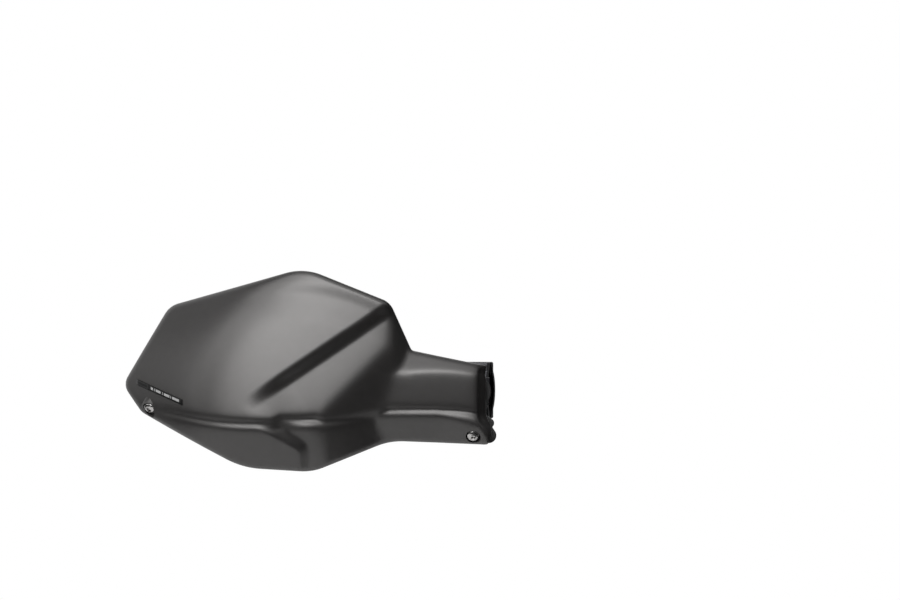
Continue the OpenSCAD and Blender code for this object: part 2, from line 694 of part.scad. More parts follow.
guard_shell();
side_badge();
inner_shell_screw();
inner_bush();
inner_grommet();
outer_shell_screw();
outer_bush();
outer_grommet();
inner_arm();
arm_bolt();
arm_washer();
clamp_front();
clamp_rear();
clamp_screw_upper();
clamp_screw_lower();
clamp_washer_upper();
clamp_washer_lower();
outer_bracket();
bar_end_weight();
bar_end_washer();
bar_end_bolt();
expander_washer();
expander_sleeve();
expander_wedge();
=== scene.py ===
# %% [markdown]
# Motorcycle hand guard, right-hand side.
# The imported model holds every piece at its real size. This notebook dresses it: the moulded shell
# gets its full form and grain, the castings get soft edges, and the fasteners get heads, sockets
# and threads. Lengths are written in millimetres, as on a drawing, and become metres at the end.

# %% Load the frame
import math

import bmesh
import bpy
import numpy as np
from mathutils import Matrix, Vector
from mathutils.geometry import convex_hull_2d


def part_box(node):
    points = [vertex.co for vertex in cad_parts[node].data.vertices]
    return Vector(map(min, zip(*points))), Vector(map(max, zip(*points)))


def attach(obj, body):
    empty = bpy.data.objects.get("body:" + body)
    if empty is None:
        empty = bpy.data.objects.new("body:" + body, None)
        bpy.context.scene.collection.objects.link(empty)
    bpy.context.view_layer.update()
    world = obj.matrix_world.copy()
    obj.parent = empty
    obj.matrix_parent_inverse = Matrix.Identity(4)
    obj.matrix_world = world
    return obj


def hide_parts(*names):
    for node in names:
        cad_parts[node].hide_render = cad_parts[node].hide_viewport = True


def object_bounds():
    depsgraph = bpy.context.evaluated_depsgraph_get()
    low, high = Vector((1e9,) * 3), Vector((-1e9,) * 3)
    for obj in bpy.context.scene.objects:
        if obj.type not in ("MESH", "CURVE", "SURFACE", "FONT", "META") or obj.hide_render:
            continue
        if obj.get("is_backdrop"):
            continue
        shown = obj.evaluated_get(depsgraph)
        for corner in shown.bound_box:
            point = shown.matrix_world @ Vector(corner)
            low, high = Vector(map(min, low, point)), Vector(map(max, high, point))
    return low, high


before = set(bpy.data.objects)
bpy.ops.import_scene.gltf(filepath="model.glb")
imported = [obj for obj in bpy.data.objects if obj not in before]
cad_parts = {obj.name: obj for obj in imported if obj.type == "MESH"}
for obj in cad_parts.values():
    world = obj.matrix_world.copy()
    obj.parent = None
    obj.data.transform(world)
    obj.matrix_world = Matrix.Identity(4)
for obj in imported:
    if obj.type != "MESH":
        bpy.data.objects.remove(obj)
cad_low, cad_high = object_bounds()
MM = 0.001
SCENE = bpy.context.scene
print("CAD box in mm:", [round(v / MM, 1) for v in (*cad_low, *cad_high)])

# %% [markdown]
# Node trees are easier to read as sums than as boxes and noodles. A Wire is an output socket, and
# each operator on it adds one Math node. A Graph adds any other node: its settings come first,
# because some of them change its sockets, and then the values or links of its sockets.


# %% Wires and graphs
class Wire:
    """An output socket that can stand in a sum."""

    def __init__(self, graph, socket):
        self.graph = graph
        self.socket = socket

    def maths(self, operation, *values):
        return self.graph.maths(operation, self, *values)

    def beside(self, name):
        """Another output of the same node."""
        return Wire(self.graph, self.socket.node.outputs[name])

    def __add__(self, other):
        return self.graph.maths("ADD", self, other)

    def __sub__(self, other):
        return self.graph.maths("SUBTRACT", self, other)

    def __rsub__(self, other):
        return self.graph.maths("SUBTRACT", other, self)

    def __mul__(self, other):
        return self.graph.maths("MULTIPLY", self, other)

    def __truediv__(self, other):
        return self.graph.maths("DIVIDE", self, other)

    def __neg__(self):
        return self.graph.maths("MULTIPLY", self, -1)

    __radd__ = __add__
    __rmul__ = __mul__


class Graph:
    """A node tree that is written as expressions."""

    def __init__(self, tree):
        self.tree = tree

    def add(self, kind, sockets=None, out=0, stops=None, **settings):
        node = self.tree.nodes.new(kind)
        for name, value in settings.items():
            setattr(node, name, value)
        for place, colour in stops or []:
            ramp_stop(node.color_ramp, place, colour)
        for name, value in (sockets or {}).items():
            if isinstance(value, Wire):
                self.tree.links.new(value.socket, node.inputs[name])
            else:
                node.inputs[name].default_value = value
        return Wire(self, node.outputs[out])

    def maths(self, operation, *values):
        return self.add("ShaderNodeMath", dict(enumerate(values)), operation=operation)


def ramp_stop(ramp, place, colour):
    """Moves one of the ramp's two first stops, or adds a stop."""
    free = [e for e in ramp.elements if e.position in (0.0, 1.0) and abs(e.position - place) < 1e-6]
    element = free[0] if free else ramp.elements.new(place)
    element.color = colour


# %% [markdown]
# The front of the shell follows a rule: for each place across (u) and up (z) it gives the depth
# (w), which grows rearward. Each face of the moulding is a plane or a shallow bowl, and two faces
# meet in a rounded edge: `nearer` is a minimum with a radius, and `deeper` a maximum with one.
# Along the crease the upper faces roll over and the skirt starts with a small lip, as on the real
# moulding, where the two catch the light as a dark line and a bright one. A sculpted mesh could
# have them too, but a rule can be measured and changed. The functions take plain numbers, numpy
# arrays or Wires, so that one rule gives the places of the screws here and builds the Geometry
# Nodes that shape the mesh.


# %% Rules that work on numbers and on wires
def root(x):
    return x.maths("SQRT") if isinstance(x, Wire) else np.sqrt(x)


def at_least(x, low):
    return x.maths("MAXIMUM", low) if isinstance(x, Wire) else np.maximum(x, low)


def at_most(x, high):
    return x.maths("MINIMUM", high) if isinstance(x, Wire) else np.minimum(x, high)


def ramp(d, r):
    """Zero before d = 0 and d after it, with a bend of about r between them."""
    return (d + root(d * d + r * r)) * 0.5


def ease(a, b, x):
    """Goes smoothly from 0 at a to 1 at b."""
    t = at_most(at_least((x - a) * (1 / (b - a)), 0), 1)
    return t * t * (3 - 2 * t)


def blend(a, b, t):
    return a + (b - a) * t


def deeper(a, b, r):
    return b + ramp(a - b, r)


def nearer(a, b, r):
    return a + b - deeper(a, b, r)


def arch(x, middle, rate):
    """Grows with the square of the distance from the middle."""
    return rate * (x - middle) * (x - middle)


def beside(u, z, point, angle):
    """Distance to the lower right of a line through a point."""
    a = math.radians(angle)
    return (u - point[0]) * math.sin(a) - (z - point[1]) * math.cos(a)


def along(u, z, point, angle):
    a = math.radians(angle)
    return (u - point[0]) * math.cos(a) + (z - point[1]) * math.sin(a)


# %% Sizes of the shell in mm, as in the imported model: walls, rim and ribs
WALL = 3
EDGE_R = 3.4
RIM_DEPTH = 12
TIP_RIM_DEPTH = 24
YAW = 12
RIB_H = 4
RIB_COLUMNS = (-205, -160, -115)
SOFT_EDGE = 3

# %% Height of the crease: a level line that bows up at the tip and is lifted at the neck
CREASE_Z = -22.5
BOW = (-165, 25, 0.0021)
MIDDLE_RISE = 6
NECK_RISE = 3.8


def skirt_line(u):
    bow = ramp(BOW[0] - u, BOW[1])
    line = CREASE_Z + BOW[2] * bow * bow + MIDDLE_RISE * ease(-112, -62, u)
    return line - MIDDLE_RISE * ease(-30, 0, u) - 0.9 * ramp(u - 1, SOFT_EDGE)


def crease(u):
    lift = NECK_RISE * ease(-28, -4, u) * (1 - 0.6 * ease(2, 9, u))
    return skirt_line(u) + 3 * ease(-148, -138, u) + lift


# %% Depth of the crown: a shallow bowl that leans back, a bend to the outer side, a swollen top edge
FRONT = -83
CROWN_LEAN = 0.2
BOWL_U, BOWL_Z = (-125, 0.0007), (-10, 0.0006)
BEND_U, BEND_Z = -203, (-6, 0.0072)
SIDE_SLOPE = 1.2
BAND_U, BAND_TOP, BAND_H = (-128, 0.0045), 72.4, 1.3


def crown(u, z):
    bend = BEND_U + arch(z, *BEND_Z)
    above = z - (BAND_TOP - arch(u, *BAND_U))
    band = BAND_H * (ease(-24, -3, above) - ease(-3, 8, above)) * ease(-185, -150, u)
    bowl = arch(z, *BOWL_Z) + arch(u, *BOWL_U)
    return FRONT + CROWN_LEAN * (z + 22) + bowl + SIDE_SLOPE * ramp(bend - u, 22) + band


# %% Slanted groove, valley in the skirt, and the faces that fall away to the neck
GROOVE, GROOVE_DEPTH = ((-118, 24), 33.8), 7
VALLEY, VALLEY_SLOPE, VALLEY_HALF = ((-138, -31), -29), 0.85, 3.5
FAR_POINT, FAR_SLOPE = (-90.4, 6.1), 0.6
STEEP_U, STEEP_SLOPE = -61, 1.45
FACET_U, FACET_SLOPE = -115, 0.5


def groove_step(u, z):
    return GROOVE_DEPTH * ease(-5, 7, beside(u, z, *GROOVE)) * ease(-62, -20, along(u, z, *GROOVE))


def valley_step(u, z):
    across = deeper(-beside(u, z, *VALLEY), u + 123, SOFT_EDGE)
    return VALLEY_SLOPE * (ramp(across + VALLEY_HALF, 1) - ramp(across - VALLEY_HALF, 1))


def far_side(u, z):
    slanted = FAR_SLOPE * ramp(beside(u, z, FAR_POINT, 45), 5)
    return deeper(slanted, STEEP_SLOPE * ramp(u - STEEP_U, SOFT_EDGE), SOFT_EDGE)


def facet_side(u):
    return FACET_SLOPE * ramp(u - FACET_U, 2.5)


# %% Faces above the crease, skirt below it, and how far the crease's roll and lip reach
SKIRT_SLOPE, FACET_RELIEF = 0.66, 0.28
LIP_H = 0.8


def roll(u):
    return ease(-245, -215, u) * (1 - ease(-116, -108, u)) + 0.8 * ease(-70, -62, u)


def lip(u):
    return ease(-212, -180, u) * (1 - ease(-124, -113, u)) + 0.2 * ease(-70, -62, u)


def upper_body(u, z):
    return crown(u, z) + groove_step(u, z) + far_side(u, z)


def skirt_body(u, z):
    line = crease(u)
    step = blend(groove_step(u, line), valley_step(u, z), ease(0, 5, line - z))
    fall = (SKIRT_SLOPE - FACET_RELIEF * ease(-125, -105, u)) * ramp(skirt_line(u) - 3 - z, SOFT_EDGE)
    return crown(u, line) + step - LIP_H * lip(u) + fall + deeper(far_side(u, line), facet_side(u), 2)


# %% The neck: a front face, a roof, an underside and an end wall
NECK_FRONT = -55
NECK_START = -74
NECK_SLOPE = 1.2
END_WALL_SLOPE = 1.35
UNDER_SLOPE = 0.72
ROOF_U, ROOF_Z = (-30, 0.0028), 15.5
END_PULL, INNER_END_PULL = 3.8, 2.5


def neck_end(u, z):
    return END_WALL_SLOPE * ramp(u - 2 - 0.45 * ramp(-20 - z, SOFT_EDGE), SOFT_EDGE)


def neck_top(u, z):
    roof = ramp(z - (ROOF_Z - arch(u, *ROOF_U)), SOFT_EDGE)
    return NECK_FRONT - 0.05 * z + roof + neck_end(u, z) + NECK_SLOPE * ramp(NECK_START - u, 5)


def neck_low(u, z):
    under = UNDER_SLOPE * ramp(skirt_line(u) - z, SOFT_EDGE)
    return NECK_FRONT - LIP_H + under + neck_end(u, z) + NECK_SLOPE * ramp(NECK_START + 2 - u, 5)


# %% The whole front, with the crease's roll and lip and without them
ROLL_SLOPE = 0.5
PAST_LIP_SLOPE = 1.2


def above_crease(u, z):
    return nearer(upper_body(u, z), neck_top(u, z), SOFT_EDGE)


def below_crease(u, z):
    return nearer(skirt_body(u, z), neck_low(u, z), SOFT_EDGE)


def front_form(u, z):
    line = crease(u)
    roll_slope, lip_slope = ROLL_SLOPE + ROLL_SLOPE * roll(u), ROLL_SLOPE + ROLL_SLOPE * lip(u)
    top = above_crease(u, z) + roll_slope * ramp(line + 1.5 + 1.7 * roll(u) - z, 2.5)
    past_lip = PAST_LIP_SLOPE * ramp(z - line - 4, SOFT_EDGE)
    low = below_crease(u, z) + lip_slope * ramp(z - line + 3, 2.4) + past_lip
    return nearer(top, low, 1.6)


def soft_form(u, z):
    return blend(below_crease(u, z), above_crease(u, z), ease(-8, 2, z - crease(u)))


print("depth of the crown at its middle:", round(float(front_form(-125.0, 0.0)), 2), "mm")

# %% [markdown]
# Seen from the front, the shell's outline is a chain of straight runs with rounded corners. A
# corner is written as a point and a radius, and `rounded` turns the chain into points. The same
# helper rounds the profiles of the turned pieces further down.


# %% Rounded chains
def unit(v):
    return v / np.linalg.norm(v)


def corner_points(a, b, c, radius, steps):
    """Points along the arc that rounds corner b between a and c."""
    b = np.array(b, float)
    d1 = unit(np.array(a) - b)
    d2 = unit(np.array(c) - b)
    half = math.acos(np.clip(d1 @ d2, -1, 1)) / 2
    reach = radius / math.tan(half)
    middle = b + unit(d1 + d2) * radius / math.sin(half)
    start = b + d1 * reach - middle
    finish = b + d2 * reach - middle
    return [middle + radius * unit(start * (steps - i) + finish * i) for i in range(steps + 1)]


def rounded(chain, steps=12):
    """The points of a chain of (x, y) ends and (x, y, radius) corners."""
    points = []
    for i, corner in enumerate(chain):
        if len(corner) == 2 or corner[2] == 0:
            points.append(np.array(corner[:2], float))
        else:
            points += corner_points(chain[i - 1][:2], corner[:2], chain[i + 1][:2], corner[2], steps)
    return np.array(points)


# %% Outline of the shell in mm: across, up and corner radius
TIP = (-256.2, 4, 10)
UPPER = [(-222.5, 61, 16), (-124, 89.3, 40), (-62, 64.5, 14), (-46.5, 29.6, 3), (9, 18.4, 3), (11.2, 8)]
LOWER = [
    (-242, -15.5, 12), (-168, -54.5, 60), (-118, -57.6, 34), (-62, -35.6, 50), (8.8, -38.3, 3), (11.2, -31),
]
tip_arc = corner_points(LOWER[0][:2], TIP[:2], UPPER[0][:2], TIP[2], 24)
tip_middle = tip_arc[len(tip_arc) // 2]
upper_edge = np.vstack([[p for p in tip_arc if p[1] >= tip_middle[1]], rounded([TIP[:2], *UPPER])[1:]])
lower_edge = np.vstack([[p for p in tip_arc[::-1] if p[1] <= tip_middle[1]], rounded([TIP[:2], *LOWER])[1:]])
TIP_U = tip_middle[0]
END_U = UPPER[-1][0]
print("outline from", round(TIP_U, 1), "to", END_U, "with", len(upper_edge) + len(lower_edge), "points")


def top_at(u):
    return np.interp(u, upper_edge[:, 0], upper_edge[:, 1])


def bottom_at(u):
    return np.interp(u, lower_edge[:, 0], lower_edge[:, 1])


def outline_distance(u, z):
    """How far each point lies inside the outline."""
    loop = np.vstack([upper_edge, lower_edge[::-1]])
    best = np.full(np.shape(u), 1e9)
    for a, b in zip(loop[:-1], loop[1:]):
        side = b - a
        t = np.clip(((u - a[0]) * side[0] + (z - a[1]) * side[1]) / (side @ side + 1e-12), 0, 1)
        best = np.minimum(best, np.hypot(u - a[0] - t * side[0], z - a[1] - t * side[1]))
    return best


# %% [markdown]
# The mesh starts as a flat sheet that fills the outline: columns across, closer at the tip, at the
# neck's end and at each rib, and rows up, closer at the rounded edge and at the crease. A second
# sheet, a wall's thickness smaller, becomes the inside. A band of rings with a half-round back joins
# the two, so that the shell is one closed skin. The neck's end isn't straight: between its corners it
# is drawn in by a few millimetres, and the sheet's points there are pulled back.

# %% Columns and rows of the sheet
EDGE_ROWS = 9
LOW_ROWS = 18
CREASE_ROWS = 18
HIGH_ROWS = 70
CREASE_BELOW = 4.5
CREASE_BAND = 9
COLUMN_STEP = 1.05
RIB_SECTION = ((-2.3, 0), (-1.7, 0.06), (-1.35, 0.5), (-1.1, 0.93), (-0.7, 1), (0, 1), (0.7, 1), (1.1, 0.93),
               (1.35, 0.5), (1.7, 0.06), (2.3, 0))
even = np.arange(TIP_U + 6, END_U - 4.5, COLUMN_STEP)
plain = [u for u in even if min(abs(u - r) for r in RIB_COLUMNS) > 2.8]
ends = [TIP_U + d for d in (0.1, 0.5, 1.2, 2.2, 3.4, 4.7)] + [END_U - d for d in (3.6, 2.6, 1.7, 0.9, 0.3, 0)]
columns = np.sort([*plain, *ends, *(r + s[0] for r in RIB_COLUMNS for s in RIB_SECTION)])


def inset_at(edge, u, inset):
    """A wall's thickness measured across the edge, seen along z."""
    slope = (np.interp(u + 0.5, edge[:, 0], edge[:, 1]) - np.interp(u - 0.5, edge[:, 0], edge[:, 1]))
    return inset * math.sqrt(1 + min(abs(slope), 1.6) ** 2)


def row_heights(u, inset):
    room = 0.3 * (top_at(u) - bottom_at(u))
    low = bottom_at(u) + min(inset_at(lower_edge, u, inset), room)
    high = top_at(u) - min(inset_at(upper_edge, u, inset), room)
    tall = high - low
    edge = min(EDGE_R, tall * 0.16)
    first = max(crease(min(-2.0, u)) - CREASE_BELOW, low + tall * 0.26)
    last = first + min(CREASE_BAND, tall * 0.3)
    steps = np.linspace(0, 1, EDGE_ROWS) ** 1.7
    return np.concatenate([
        low + edge * steps,
        np.linspace(low + edge, first, LOW_ROWS + 2)[1:-1],
        np.linspace(first, last, CREASE_ROWS),
        np.linspace(last, high - edge, HIGH_ROWS + 2)[1:-1],
        high - edge * steps[::-1],
    ])


def rim_at(u):
    """How far the rim turns back behind the edge."""
    deep = blend(RIM_DEPTH, TIP_RIM_DEPTH, ease(-195, -245, u))
    return deep - (RIM_DEPTH - 5) * ease(-50, -30, u) - 3 * ease(0, 10, u)


# %% Points and faces of the two sheets and the band between them
def inner_column(u):
    return u + WALL * (1 - ease(0, 25, u - TIP_U)) - WALL * (1 - ease(0, 15, END_U - u))


def sheet_points(us, inset):
    z = np.array([row_heights(u, inset) for u in us])
    return np.repeat(np.asarray(us)[:, None], z.shape[1], 1).ravel(), z.ravel(), z.shape[1]


def border(m, n):
    """The sheet's border points in order, counter-clockwise from the lower outer corner."""
    low = [i * n for i in range(m)]
    right = [(m - 1) * n + j for j in range(1, n)]
    high = [i * n + n - 1 for i in range(m - 2, -1, -1)]
    return [*low, *right, *high, *range(n - 2, 0, -1)]


def sheet_faces(m, n, start, flip):
    corner = (np.arange(m - 1)[:, None] * n + np.arange(n - 1)[None, :]).ravel() + start
    quads = np.stack([corner, corner + n, corner + n + 1, corner + 1], 1)
    return quads[:, ::-1] if flip else quads


def band_faces(ring_a, ring_b):
    a, b = np.array(ring_a), np.array(ring_b)
    return np.stack([a, b, np.roll(b, -1), np.roll(a, -1)], 1)


# %% Flat sheet with what each point has to know
outer_u, outer_z, ROWS = sheet_points(columns, 0)
inner_u, inner_z, _ = sheet_points([inner_column(u) for u in columns], WALL)
loop = border(len(columns), ROWS)
SHEET = len(outer_u)
BACK_STEPS = 7
rib_rise = np.zeros(len(columns))
for rib_u in RIB_COLUMNS:
    across = [s[0] for s in RIB_SECTION]
    rise = np.interp(columns - rib_u, across, [s[1] for s in RIB_SECTION], left=0, right=0)
    rib_rise = np.maximum(rib_rise, rise)
inner_rows = inner_z.reshape(-1, ROWS)
fade = ease(0, 10, inner_rows - inner_rows[:, :1]) * ease(0, 10, inner_rows[:, -1:] - inner_rows)
none = np.zeros(SHEET)
points = {
    "x": [outer_u, inner_u],
    "z": [outer_z, inner_z],
    "form_u": [outer_u, inner_u],
    "form_z": [outer_z, inner_z],
    "layer": [none, np.ones(SHEET)],
    "gap": [outline_distance(outer_u, outer_z), outline_distance(inner_u, inner_z) - WALL],
    "back": [none, none],
    "pull": [np.full(SHEET, END_PULL), np.full(SHEET, INNER_END_PULL)],
    "rib": [none, (rib_rise[:, None] * fade).ravel()],
}

# %% Rings of the band, and all faces
edge_u, edge_z = outer_u[loop], outer_z[loop]
rim = rim_at(edge_u)
none = np.zeros(len(loop))
half_turn = [math.pi * k / BACK_STEPS for k in range(BACK_STEPS + 1)]
ring_places = [(0.0, 0.45)] + [(0.5 - 0.5 * math.cos(a), math.sin(a)) for a in half_turn]
for k, (across, bulge) in enumerate(ring_places):
    straight = rim - WALL / 2
    ring = {
        "x": blend(edge_u, inner_u[loop], across),
        "z": blend(edge_z, inner_z[loop], across),
        "form_u": edge_u,
        "form_z": edge_z,
        "layer": none,
        "gap": none,
        "back": straight * bulge if k == 0 else straight + WALL / 2 * bulge,
        "pull": np.full(len(loop), blend(END_PULL, INNER_END_PULL, across)),
        "rib": none,
    }
    for name, values in ring.items():
        points[name].append(values)
points = {name: np.concatenate(parts) for name, parts in points.items()}
between_corners = ease(-27, -15, points["form_z"]) * ease(20, 13, points["form_z"])
drawn_in = ease(0, END_U - 4, points["form_u"]) * between_corners
points["x"] = points["x"] - points.pop("pull") * drawn_in
rings = [loop] + [[2 * SHEET + k * len(loop) + i for i in range(len(loop))] for k in range(len(ring_places))]
rings.append([i + SHEET for i in loop])
faces = np.vstack([
    sheet_faces(len(columns), ROWS, 0, True),
    sheet_faces(len(columns), ROWS, SHEET, False),
    *(band_faces(b, a) for a, b in zip(rings[:-1], rings[1:])),
])
print("flat sheet:", len(points["x"]), "points and", len(faces), "quads")

# %% [markdown]
# Geometry Nodes lift each point to its depth. The rule is written once as a node group of Math
# nodes, and the tree calls it: once for the outer skin, and at five places for the inner one, which
# needs the slope to keep the wall equally thick across the faces. A modifier could also displace
# along normals, but a moulded shell draws straight back, so the depth is set and not the normal.


# %% A tree's sockets, and running a tree on a mesh
def new_tree(name, sockets):
    """An empty Geometry Nodes tree with a geometry input, named inputs and its input node."""
    tree = bpy.data.node_groups.new(name, "GeometryNodeTree")
    tree.interface.new_socket("Geometry", in_out="OUTPUT", socket_type="NodeSocketGeometry")
    tree.interface.new_socket("Geometry", in_out="INPUT", socket_type="NodeSocketGeometry")
    for label, kind in sockets.items():
        tree.interface.new_socket(label, in_out="INPUT", socket_type=kind)
    graph = Graph(tree)
    return graph, graph.add("NodeGroupInput", out="Geometry")


def close_tree(graph, geometry, material):
    """Ends a tree: real geometry, one material, and the output."""
    real = graph.add("GeometryNodeRealizeInstances", {"Geometry": geometry})
    painted = graph.add("GeometryNodeSetMaterial", {"Geometry": real, "Material": material})
    output = graph.tree.nodes.new("NodeGroupOutput")
    graph.tree.links.new(painted.socket, output.inputs[0])


def link_object(name, data):
    obj = bpy.data.objects.new(name, data)
    SCENE.collection.objects.link(obj)
    return obj


def plain_result(obj):
    """Turns what the object's modifiers make into its own mesh, and removes them."""
    made = bpy.data.meshes.new_from_object(obj.evaluated_get(bpy.context.evaluated_depsgraph_get()))
    obj.modifiers.clear()
    obj.data = made
    return obj


def run_tree(obj, graph, values):
    modifier = obj.modifiers.new("rule", "NODES")
    modifier.node_group = graph.tree
    for item in graph.tree.interface.items_tree:
        if item.in_out == "INPUT" and item.name in values:
            modifier[item.identifier] = values[item.name]
    return plain_result(obj)


# %% The rule as a node group
def rule_group(name, rule):
    tree = bpy.data.node_groups.new(name, "GeometryNodeTree")
    tree.interface.new_socket("w", in_out="OUTPUT", socket_type="NodeSocketFloat")
    for label in ("u", "z"):
        tree.interface.new_socket(label, in_out="INPUT", socket_type="NodeSocketFloat")
    graph = Graph(tree)
    u = graph.add("NodeGroupInput", out="u")
    depth = rule(u, u.beside("z"))
    output = tree.nodes.new("NodeGroupOutput")
    tree.links.new(depth.socket, output.inputs[0])
    print(name, "has", len(tree.nodes), "nodes")
    return tree


front_group = rule_group("front_form", front_form)
soft_group = rule_group("soft_form", soft_form)

# %% The tree that lifts the sheet
NUMBER = "NodeSocketFloat"
PAINT = "NodeSocketMaterial"
lift, sheet = new_tree("lift_shell", {
    "Wall": NUMBER, "Edge radius": NUMBER, "Rib height": NUMBER, "Yaw": NUMBER, "Material": PAINT,
})


def stored(graph, name):
    return graph.add("GeometryNodeInputNamedAttribute", {"Name": name}, data_type="FLOAT")


def depth_by(group, u, z):
    return lift.add("GeometryNodeGroup", {"u": u, "z": z}, node_tree=group)


wall, edge_radius, rib_height = (sheet.beside(n) for n in ("Wall", "Edge radius", "Rib height"))
layer = stored(lift, "layer")
form_u, form_z = stored(lift, "form_u"), stored(lift, "form_z")
outer_depth = depth_by(front_group, form_u, form_z)
slope_u = depth_by(soft_group, form_u + 0.5, form_z) - depth_by(soft_group, form_u - 0.5, form_z)
slope_z = depth_by(soft_group, form_u, form_z + 0.5) - depth_by(soft_group, form_u, form_z - 0.5)
steep = root(1 + slope_u * slope_u + slope_z * slope_z)
inner_depth = at_least(depth_by(soft_group, form_u, form_z) + wall * steep, outer_depth + wall)
bend = edge_radius - wall * layer
inward = bend - at_most(at_least(stored(lift, "gap"), 0), bend)
drop = bend - root(bend * bend - inward * inward)
depth = blend(outer_depth, inner_depth, layer) + drop + stored(lift, "back")
depth = depth + rib_height * stored(lift, "rib")
place = lift.add("ShaderNodeSeparateXYZ", {0: lift.add("GeometryNodeInputPosition")})
across, up = place, place.beside("Z")
cos_yaw, sin_yaw = sheet.beside("Yaw").maths("COSINE"), sheet.beside("Yaw").maths("SINE")
turned_place = lift.add("ShaderNodeCombineXYZ", {
    "X": (across * cos_yaw - depth * sin_yaw) * MM,
    "Y": (across * sin_yaw + depth * cos_yaw) * MM,
    "Z": up * MM,
})
lifted = lift.add("GeometryNodeSetPosition", {"Geometry": sheet, "Position": turned_place})
close_tree(lift, lift.add("GeometryNodeSetShadeSmooth", {0: lifted}), sheet.beside("Material"))
print("lift_shell has", len(lift.tree.nodes), "nodes")

# %% [markdown]
# Finishes come next. The shell is black polypropylene with a fine spark-eroded grain: dark, with a
# soft sheen where a face turns to the light. A picture of such grain would repeat, so noise makes
# it: one fine noise for the grain's bumps, and a wide faint one for the uneven gloss of a moulding.


# %% Materials
def new_material(name, **shader):
    """A material with a Principled shader, its graph, and the shader's fixed values."""
    material = bpy.data.materials.new(name)
    material.use_nodes = True
    bsdf = material.node_tree.nodes["Principled BSDF"]
    for label, value in shader.items():
        bsdf.inputs[label.replace("_", " ")].default_value = value
    return material, Graph(material.node_tree), bsdf


def feed(graph, bsdf, **sockets):
    """Links what changes over the surface to the shader."""
    for label, wire in sockets.items():
        graph.tree.links.new(wire.socket, bsdf.inputs[label.replace("_", " ")])


def grey(value):
    return (value, value, value, 1)


def noise(graph, coords, size_mm, detail=2.0, rough=0.5):
    """Noise from 0 to 1 whose lumps are about size_mm across."""
    sockets = {"Vector": coords, "Scale": 1 / (size_mm * MM), "Detail": detail, "Roughness": rough}
    return graph.add("ShaderNodeTexNoise", sockets, out=0)


def object_coords(graph, matrix=None):
    """Object coordinates, seen from a piece's own frame if a matrix is given."""
    coords = graph.add("ShaderNodeTexCoord", out="Object")
    if matrix is None:
        return coords
    location, rotation, _ = matrix.inverted().decompose()
    sockets = {"Vector": coords, "Location": location, "Rotation": rotation.to_euler()}
    return graph.add("ShaderNodeMapping", sockets)


def bump(graph, height, depth_mm, strength=1.0):
    sockets = {"Height": height, "Distance": depth_mm * MM, "Strength": strength}
    return graph.add("ShaderNodeBump", sockets)


def mix_colour(graph, mask, low, high):
    return graph.add("ShaderNodeMix", {0: mask, 6: low, 7: high}, out=2, data_type="RGBA")


# %% Grained black plastic of the shell: its sheen is a little warm, and its darks are nearly black
SHEEN = (1, 0.975, 0.96, 1)
SHELL_DARK = (0.0105, 0.0098, 0.0098, 1)
SHELL_PALE = (0.0150, 0.0140, 0.0138, 1)


def shell_finish():
    material, graph, bsdf = new_material(
        "shell_plastic", Specular_IOR_Level=0.9, Specular_Tint=SHEEN, Coat_Roughness=0.42)
    coords = object_coords(graph)
    grain = noise(graph, coords, 0.45, 3, 0.6)
    cloud = noise(graph, coords, 38, 2)
    mottle = noise(graph, coords, 6, 3)
    tone = ease(0.3, 0.7, cloud) * 0.6 + mottle * 0.25 + grain * 0.15
    feed(graph, bsdf,
         Base_Color=mix_colour(graph, tone, SHELL_DARK, SHELL_PALE),
         Roughness=0.4 + 0.05 * cloud + 0.05 * grain,
         Coat_Weight=0.3 + 0.2 * mottle,
         Normal=bump(graph, grain, 0.04, 0.6))
    return material


shell_plastic = shell_finish()
print("shell_plastic has", len(shell_plastic.node_tree.nodes), "nodes")


# %% Lift the shell
def mesh_from(name, vertices, polygons):
    mesh = bpy.data.meshes.new(name)
    mesh.from_pydata([tuple(v) for v in vertices], [], [tuple(int(i) for i in f) for f in polygons])
    mesh.update()
    return mesh


flat = mesh_from("shell", np.stack([points["x"], np.zeros(len(points["x"])), points["z"]], 1), faces)
for label in ("form_u", "form_z", "layer", "gap", "back", "rib"):
    flat.attributes.new(label, "FLOAT", "POINT").data.foreach_set("value", points[label].astype(np.float32))
shell = run_tree(link_object("moulded_shell", flat), lift, {
    "Wall": WALL,
    "Edge radius": EDGE_R,
    "Rib height": RIB_H,
    "Yaw": math.radians(YAW),
    "Material": shell_plastic,
})
print("shell:", len(shell.data.polygons), "faces, size", [round(v / MM, 1) for v in shell.dimensions])

# %% [markdown]
# Two places on the shell are drilled and faced for its screws: a recess for the head, a hole for
# the grommet's neck and a flat for its inner flange, with a boss behind them. On the real part the
# mould makes them. Here two Boolean modifiers do: one adds the bosses, one cuts the recesses. Both
# work in the screw's own frame, whose Z axis is the screw's axis and points inward from the skin.


# %% Turned pieces
def turned_mesh(name, profile, segments, six=()):
    """A profile of (radius, height) points spun round Z. Points listed in six follow a hexagon."""
    angles = np.arange(segments) * 2 * math.pi / segments
    sixth = math.pi / 3
    hexagon = 1 / np.cos((angles % sixth) - sixth / 2)
    vertices, starts = [], []
    for i, (radius, height) in enumerate(profile):
        starts.append(len(vertices))
        if radius < 1e-6:
            vertices.append((0, 0, height))
            continue
        reach = radius * (hexagon if i in six else np.ones(segments))
        vertices += [(r * math.cos(a), r * math.sin(a), height) for r, a in zip(reach, angles)]
    polygons = []
    for i in range(len(profile) - 1):
        a, b = starts[i], starts[i + 1]
        single_a, single_b = profile[i][0] < 1e-6, profile[i + 1][0] < 1e-6
        for k in range(segments):
            n = (k + 1) % segments
            side_a = (a, a) if single_a else (a + k, a + n)
            side_b = (b, b) if single_b else (b + n, b + k)
            polygons.append(list(dict.fromkeys(side_a + side_b)))
    return mesh_from(name, vertices, polygons)


